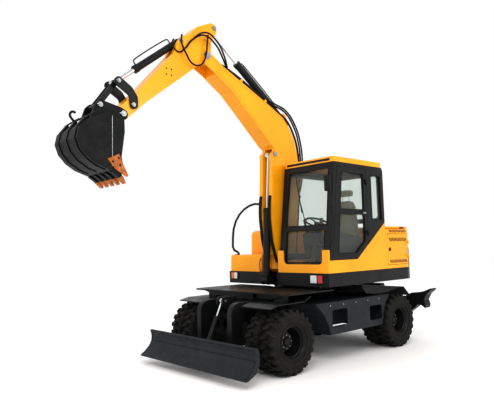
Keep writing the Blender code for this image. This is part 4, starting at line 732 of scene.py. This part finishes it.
# weld beads where the boom's side plates meet its top and bottom plates
topEdge = [(-0.112, 3.0), (-0.02, 3.40), (0.20, 3.69), (0.518, 3.860), (1.454, 4.285), (1.70, 4.43)]
for side in (-1, 1):
    y = boomY + side * 0.141
    label = sideName(side)
    hosePiece("boomTopWeld" + label, [(x, y, z - 0.028) for x, z in topEdge], 0.004, enamelYellow, "boom")
    lowEdges = ([(0.53, 2.3), (0.50, 2.9)], [(0.80, 3.53), (1.285, 3.975), (1.62, 4.195)])
    for k, run in enumerate(lowEdges):
        hosePiece("boomLowWeld%s%d" % (label, k), [(x - 0.02 + 0.012 * k, y, z + 0.01) for x, z in run],
                  0.004, enamelYellow, "boom")
# steel pipes on the boom's back edge with their clamps
pipeRun = [(0.30, 3.80), (0.518, 3.895), (1.0, 4.115), (1.40, 4.300)]
for k, side in enumerate((-1, 1)):
    hosePiece("boomPipe%d" % k, [(x, boomY + side * 0.112, z) for x, z in pipeRun],
              0.011, powderBlack, "boom")
for k, (x, z) in enumerate(((0.60, 3.925), (1.10, 4.155))):
    turn = Matrix.Rotation(-math.radians(24.5), 3, "Y")
    for side in (-1, 1):
        y = boomY + side * 0.112
        boxPiece("pipeClamp%d%s" % (k, sideName(side)), (x - 0.02, y - 0.022, z - 0.024),
                 (x + 0.02, y + 0.022, z + 0.022), "boom", enamelYellow, 0.003, turn)
# hose bundle round the bend and down behind the boom
for k in range(4):
    y = boomY - 0.09 + 0.06 * k
    hosePiece("boomHose%d" % k, [(0.32, y, 3.81), (0.12, y, 3.72), (-0.06, y, 3.50), (-0.16, y, 3.22),
                                 (-0.175, y, 2.85), (-0.15, y, 2.40), (-0.10, y, 1.98), (-0.05, y, 1.70)],
              0.016, hoseRubber, "boom")
# long hoses that leave the boom's top, stand off round the bend and come back to its rear edge
for k, y in enumerate((boomY - 0.10, boomY - 0.075, boomY + 0.075, boomY + 0.10)):
    out = 0.02 * (k % 2)
    hosePiece("bendHose%d" % k, [(1.46, y, 4.325), (1.20, y, 4.215 + out), (0.62, y, 3.965 + out),
                                 (0.34, y, 3.90 + out), (0.10, y, 3.83 + out), (-0.10 - out, y, 3.62),
                                 (-0.215 - out, y, 3.32), (-0.24 - out, y, 3.02), (-0.215 - out, y, 2.74),
                                 (-0.17, y, 2.52)], 0.013, hoseRubber, "boom")
for k, (x, z) in enumerate(((-0.155, 3.15), (-0.135, 2.45))):
    boxPiece("hoseStrap%d" % k, (x - 0.045, boomY - 0.118, z - 0.02), (x + 0.03, boomY + 0.118, z + 0.02),
             "boom", powderBlack, 0.004)
# slack between the boom and the swing frame
for k in range(4):
    y = boomY - 0.09 + 0.06 * k
    hosePiece("footHose%d" % k, [(-0.05, y, 1.71), (-0.06, y, 1.55), (-0.16, y, 1.40), (-0.34, y, 1.33),
                                 (-0.50, y, 1.28)],
              0.014, hoseRubber, between=("boom", "upper", (-0.05, y, 1.70), (-0.30, y, 1.34)))
# hose loops beside the arm pivot, from the boom to the arm
for k, y in enumerate((0.052, 0.082)):
    hosePiece("armHose%d" % k, [(1.38, boomY + 0.112 + 0.02 * k, 4.29), (1.50, y + 0.01, 4.40 + 0.03 * k),
                                (1.66, y + 0.04, 4.56 + 0.04 * k), (1.86, y + 0.035, 4.64 + 0.03 * k),
                                (2.02, boomY + 0.13, 4.55), (2.12, boomY + 0.125, 4.42)], 0.012, hoseRubber,
              between=("boom", "arm", (1.45, y, 4.36), (1.95, y, 4.60)))
hosePiece("bucketHose", [(2.12, boomY + 0.122, 4.42), (2.25, boomY + 0.124, 4.33), (2.32, boomY + 0.10, 4.40),
                         (2.30, boomY + 0.065, 4.47)], 0.010, hoseRubber, "arm")
# hose that hangs in a loop on each side of the arm, clear of the boom's cheeks
for side in (-1, 1):
    near, far = boomY + side * 0.128, boomY + side * 0.168
    hosePiece("armLoop%s" % sideName(side),
              [(2.17, boomY + side * 0.10, 4.60), (2.20, near, 4.50), (2.155, far, 4.32), (2.03, far, 4.19),
               (1.89, far, 4.22), (1.81, far, 4.36), (1.78, far, 4.55), (1.73, near, 4.70)],
              0.012, hoseRubber, "arm")
# four bolt holes in the arm's side, each drawn as a near-black disc of painted shade
holeShadeDiscs = []
for dx, dz in ((-0.04, 0.04), (0.04, 0.04), (-0.04, -0.04), (0.04, -0.04)):
    for side in (-1, 1):
        y = boomY + side * 0.1105
        x, z = 2.40 + dx, 4.02 + dz
        holeShadeDiscs.append(((x, y - side * 0.004, z), (x, y + side * 0.001, z), 0.011))
rodsPiece("armBoltHoles", holeShadeDiscs, "arm", hoseRubber, sides=16, bevel=0)
# feed pipes along the arm and bucket cylinders
along = Vector((1.45, 0, 1.08)).normalized()
pipeSpots = []
for reach in (0.16, 0.60, 1.06):
    p = Vector((0.15, boomY, 3.76)) + along * reach + Vector((-along.z, 0, along.x)) * 0.068
    pipeSpots.append(tuple(p))
hosePiece("armCylinderPipe", pipeSpots, 0.009, powderBlack, "arm_cylinder_tube")


def pipeLoop(name, foot, eye, reaches, lifts, body, bend=0.014):
    # a steel pipe that rises from the tube, runs along it and drops back at its far end
    line = (Vector(eye) - Vector(foot)).normalized()
    out = Vector((-line.y, line.x))
    if out.y < 0:
        out = -out
    near, far = reaches
    low, high = lifts
    spots = []
    for reach, lift in ((near, low), (near, high - bend), (near + bend, high), (far - bend, high),
                        (far, high - bend), (far, low)):
        spot = Vector(foot) + line * reach + out * lift
        spots.append((spot.x, boomY, spot.y))
    hosePiece(name, spots, 0.008, powderBlack, body)


pipeLoop("bucketCylinderPipe", (2.189, 4.513), (3.16, 3.74), (0.12, 0.80), (0.035, 0.105),
         "bucket_cylinder_tube")
pipeLoop("armCylinderTopPipe", (0.15, 3.76), (1.60, 4.84), (0.22, 1.10), (0.04, 0.088),
         "arm_cylinder_tube")
# feed hoses down the front of the boom's foot, on both sides of the lift cylinder
for k, y in enumerate((boomY - 0.115, boomY - 0.088, boomY + 0.088, boomY + 0.115)):
    hosePiece("liftHose%d" % k, [(0.418, y, 1.40), (0.472, y, 1.56), (0.522, y, 1.74), (0.543, y, 1.92),
                                 (0.560, y, 2.10), (0.548, y, 2.36), (0.532, y, 2.44)],
              0.013, hoseRubber, "boom")

# bucket: teeth, side cutters, wear bands, hook and mouth plates

tooth = {"count": 5, "pitch": 0.138, "half": 0.032}
# only the cap at the end of each tooth is primed; its root stays black
toothOutline = [(3.262, 2.501), (3.176, 2.436), (3.163, 2.449), (3.203, 2.530)]
for side in (-1, 1):
    # bolted side cutter, in the same primer as the teeth
    a, b = sorted((boomY + side * 0.304, boomY + side * 0.3265))
    cutter = [(3.262, 2.785), (3.207, 2.66), (3.138, 2.533), (3.158, 2.518), (3.306, 2.596), (3.410, 2.712)]
    label = sideName(side)
    outlinePiece("sideCutter" + label, cutter, a, b, "bucket", toothPrimer)
    bolts = [((x, boomY + side * 0.325, z), (x, boomY + side * 0.334, z), 0.013)
             for x, z in ((3.270, 2.735), (3.250, 2.65), (3.345, 2.685))]
    rodsPiece("cutterBolts" + label, bolts, "bucket", scuffedSteel, sides=6)
for k in range(tooth["count"]):
    y = boomY + (k - 2) * tooth["pitch"]
    outlinePiece("tooth%d" % k, toothOutline, y - tooth["half"], y + tooth["half"], "bucket", toothPrimer,
                 bevel=0.004)
# wear bands round the shell, and a lifting hook
shell = [(3.52, 3.27), (3.66, 3.17), (3.75, 3.05), (3.775, 2.93), (3.73, 2.81), (3.64, 2.71), (3.52, 2.635),
         (3.40, 2.595)]
middle = Vector((3.42, 2.97))
for k, y in enumerate((-0.22, 0.0, 0.22)):
    outside = [tuple(Vector(p) + (Vector(p) - middle).normalized() * 0.010) for p in shell]
    inside = [tuple(Vector(p) - (Vector(p) - middle).normalized() * 0.006) for p in reversed(shell)]
    outlinePiece("wearBand%d" % k, outside + inside, boomY + y - 0.035, boomY + y + 0.035, "bucket",
                 scuffedSteel)
hook = [(3.64, 3.16), (3.70, 3.205), (3.722, 3.255), (3.695, 3.29), (3.655, 3.285)]
hosePiece("liftingHook", [(x, boomY, z) for x, z in hook], 0.014, scuffedSteel, "bucket")
# raised plates along the sides of the mouth, each with a pale zinc bead behind it as a painted highlight
# along the plate's edge
rim = [(3.345, 3.235), (3.187, 3.215), (3.182, 3.05), (3.217, 2.80), (3.247, 2.605), (3.345, 2.625)]
for side in (-1, 1):
    label = sideName(side)
    a, b = sorted((boomY + side * 0.304, boomY + side * 0.318))
    outlinePiece("mouthPlate" + label, rim, a, b, "bucket", scuffedSteel, bevel=0.004)
    # the bead is painted highlight: light caught on the plate's edge, drawn in pale zinc
    edge = boomY + side * 0.3165
    hosePiece("mouthEdge" + label, [(3.346, edge, 3.232), (3.346, edge, 2.93), (3.346, edge, 2.63)],
              0.006, zincPlate, "bucket")
print("digging gear detailed")


# undercarriage details

blade = {"half": 1.13, "front": [(1.992, 0.30), (2.033, 0.228), (2.103, 0.163), (2.183, 0.110)],
         "bolts": 9, "boltPitch": 0.25}
strip = [(x + 0.008, z + 0.005) for x, z in blade["front"]]
outlinePiece("bladeWearPlate", strip + [(x - 0.004, z - 0.004) for x, z in reversed(blade["front"])],
             -blade["half"] + 0.01, blade["half"] - 0.01, "blade", chassisGrey)
bolts = []
for k in range(blade["bolts"]):
    y = -1.0 + blade["boltPitch"] * k
    bolts.append(((2.056, y, 0.205), (2.066, y, 0.216), 0.009))
rodsPiece("bladeBolts", bolts, "blade", chassisGrey, sides=12)
# step treads, bolts on the side boxes, tail lamps and the stabilisers' pins
for side in (-1, 1):
    label = sideName(side)
    steps = []
    for x0, x1, z in ((0.06, 0.41, 0.50), (-0.82, -0.50, 0.49)):
        steps.append(((x0, side * 1.0 - 0.03, z - 0.006), (x1, side * 1.0 + 0.028, z + 0.004)))
    boxesPiece("stepTreads" + label, steps, "chassis", powderBlack)
    seamBolts = [((x, side * 1.028, 0.80), (x, side * 1.036, 0.80), 0.012)
                 for x in (-0.75, -0.45, -0.15, 0.15, 0.45)]
    rodsPiece("boxBolts" + label, seamBolts, "chassis", zincPlate, sides=6)
    boxPiece("tailLamp" + label, (-1.912, side * 0.60 - 0.05, 0.50), (-1.900, side * 0.60 + 0.05, 0.56),
             "chassis", redLens, 0.003)
    rodsPiece("stabiliserPin" + label, [((-2.066, side * 0.60, 0.45), (-2.062, side * 0.60, 0.45), 0.04),
                                        ((-2.066, side * 0.72, 0.66), (-2.061, side * 0.72, 0.66), 0.026)],
              ("left" if side > 0 else "right") + "_stabiliser", zincPlate)
slewRing = {"x": -0.2, "bolts": 24, "circle": 0.443}
ringBolts = []
for k in range(slewRing["bolts"]):
    a = 2 * math.pi * k / slewRing["bolts"]
    spot = (slewRing["x"] + slewRing["circle"] * math.cos(a), slewRing["circle"] * math.sin(a))
    ringBolts.append(((spot[0], spot[1], 0.98), (spot[0], spot[1], 0.997), 0.012))
rodsPiece("slewRingBolts", ringBolts, "chassis", zincPlate, sides=6)
print("undercarriage detailed")


# floor, light and camera

def lamp(name, spot, aim, size, power, colour):
    data = bpy.data.lights.new(name, "AREA")
    data.shape = "RECTANGLE"
    data.size, data.size_y = size
    data.energy = power
    data.color = hexToLinear(colour)[:3]
    obj = bpy.data.objects.new(name, data)
    obj.location = spot
    obj.rotation_euler = (Vector(aim) - Vector(spot)).to_track_quat("-Z", "Y").to_euler()
    bpy.context.scene.collection.objects.link(obj)


bpy.ops.mesh.primitive_plane_add(size=120, location=(0, 0, 0))
floor = bpy.context.object
floor.name = "studioFloor"
floorMaterial, tree, shader, spot = newMaterial("matWhiteFloor")
shader.inputs["Base Color"].default_value = hexToLinear("FFFFFF")
shader.inputs["Roughness"].default_value = 0.9
floor.data.materials.append(floorMaterial)

world = bpy.data.worlds.new("studioWorld")
bpy.context.scene.world = world
world.use_nodes = True
world.node_tree.nodes["Background"].inputs["Color"].default_value = hexToLinear("FFFFFF")
world.node_tree.nodes["Background"].inputs["Strength"].default_value = 1.0
lamp("keyLight", (7, 7, 9), (0, 0, 1.5), (5, 5), 520, "FFF8F0")
lamp("fillLight", (9, -5, 5), (0.5, 0, 1.5), (6, 4), 100, "F4F8FF")
lamp("sideLight", (-3, 10, 5), (-0.5, 0, 1.5), (6, 4), 260, "FFFFFF")
# the standard view, with a little more contrast so that blacks stay deep against the white ground
bpy.context.scene.view_settings.view_transform = "Standard"
bpy.context.scene.view_settings.gamma = 0.8

view = {"spot": (6.2697, 5.6681, 1.6628), "yaw": 3.9663, "pitch": 0.0885, "roll": -0.025, "lens": 37.84}
cameraData = bpy.data.cameras.new("camera")
cameraData.lens = view["lens"]
cameraData.sensor_width = 36
cameraData.sensor_fit = "HORIZONTAL"
camera = bpy.data.objects.new("camera", cameraData)
bpy.context.scene.collection.objects.link(camera)
cy, sy = math.cos(view["yaw"]), math.sin(view["yaw"])
cp, sp = math.cos(view["pitch"]), math.sin(view["pitch"])
forward = Vector((cy * cp, sy * cp, sp))
right = Vector((sy, -cy, 0))
up = right.cross(forward)
cr, sr = math.cos(view["roll"]), math.sin(view["roll"])
rolledRight, rolledUp = cr * right + sr * up, -sr * right + cr * up
camera.matrix_world = Matrix.Translation(place(*view["spot"])) @ Matrix(
    (rolledRight, rolledUp, -forward)).transposed().to_4x4()
bpy.context.scene.camera = camera
print("stage set")
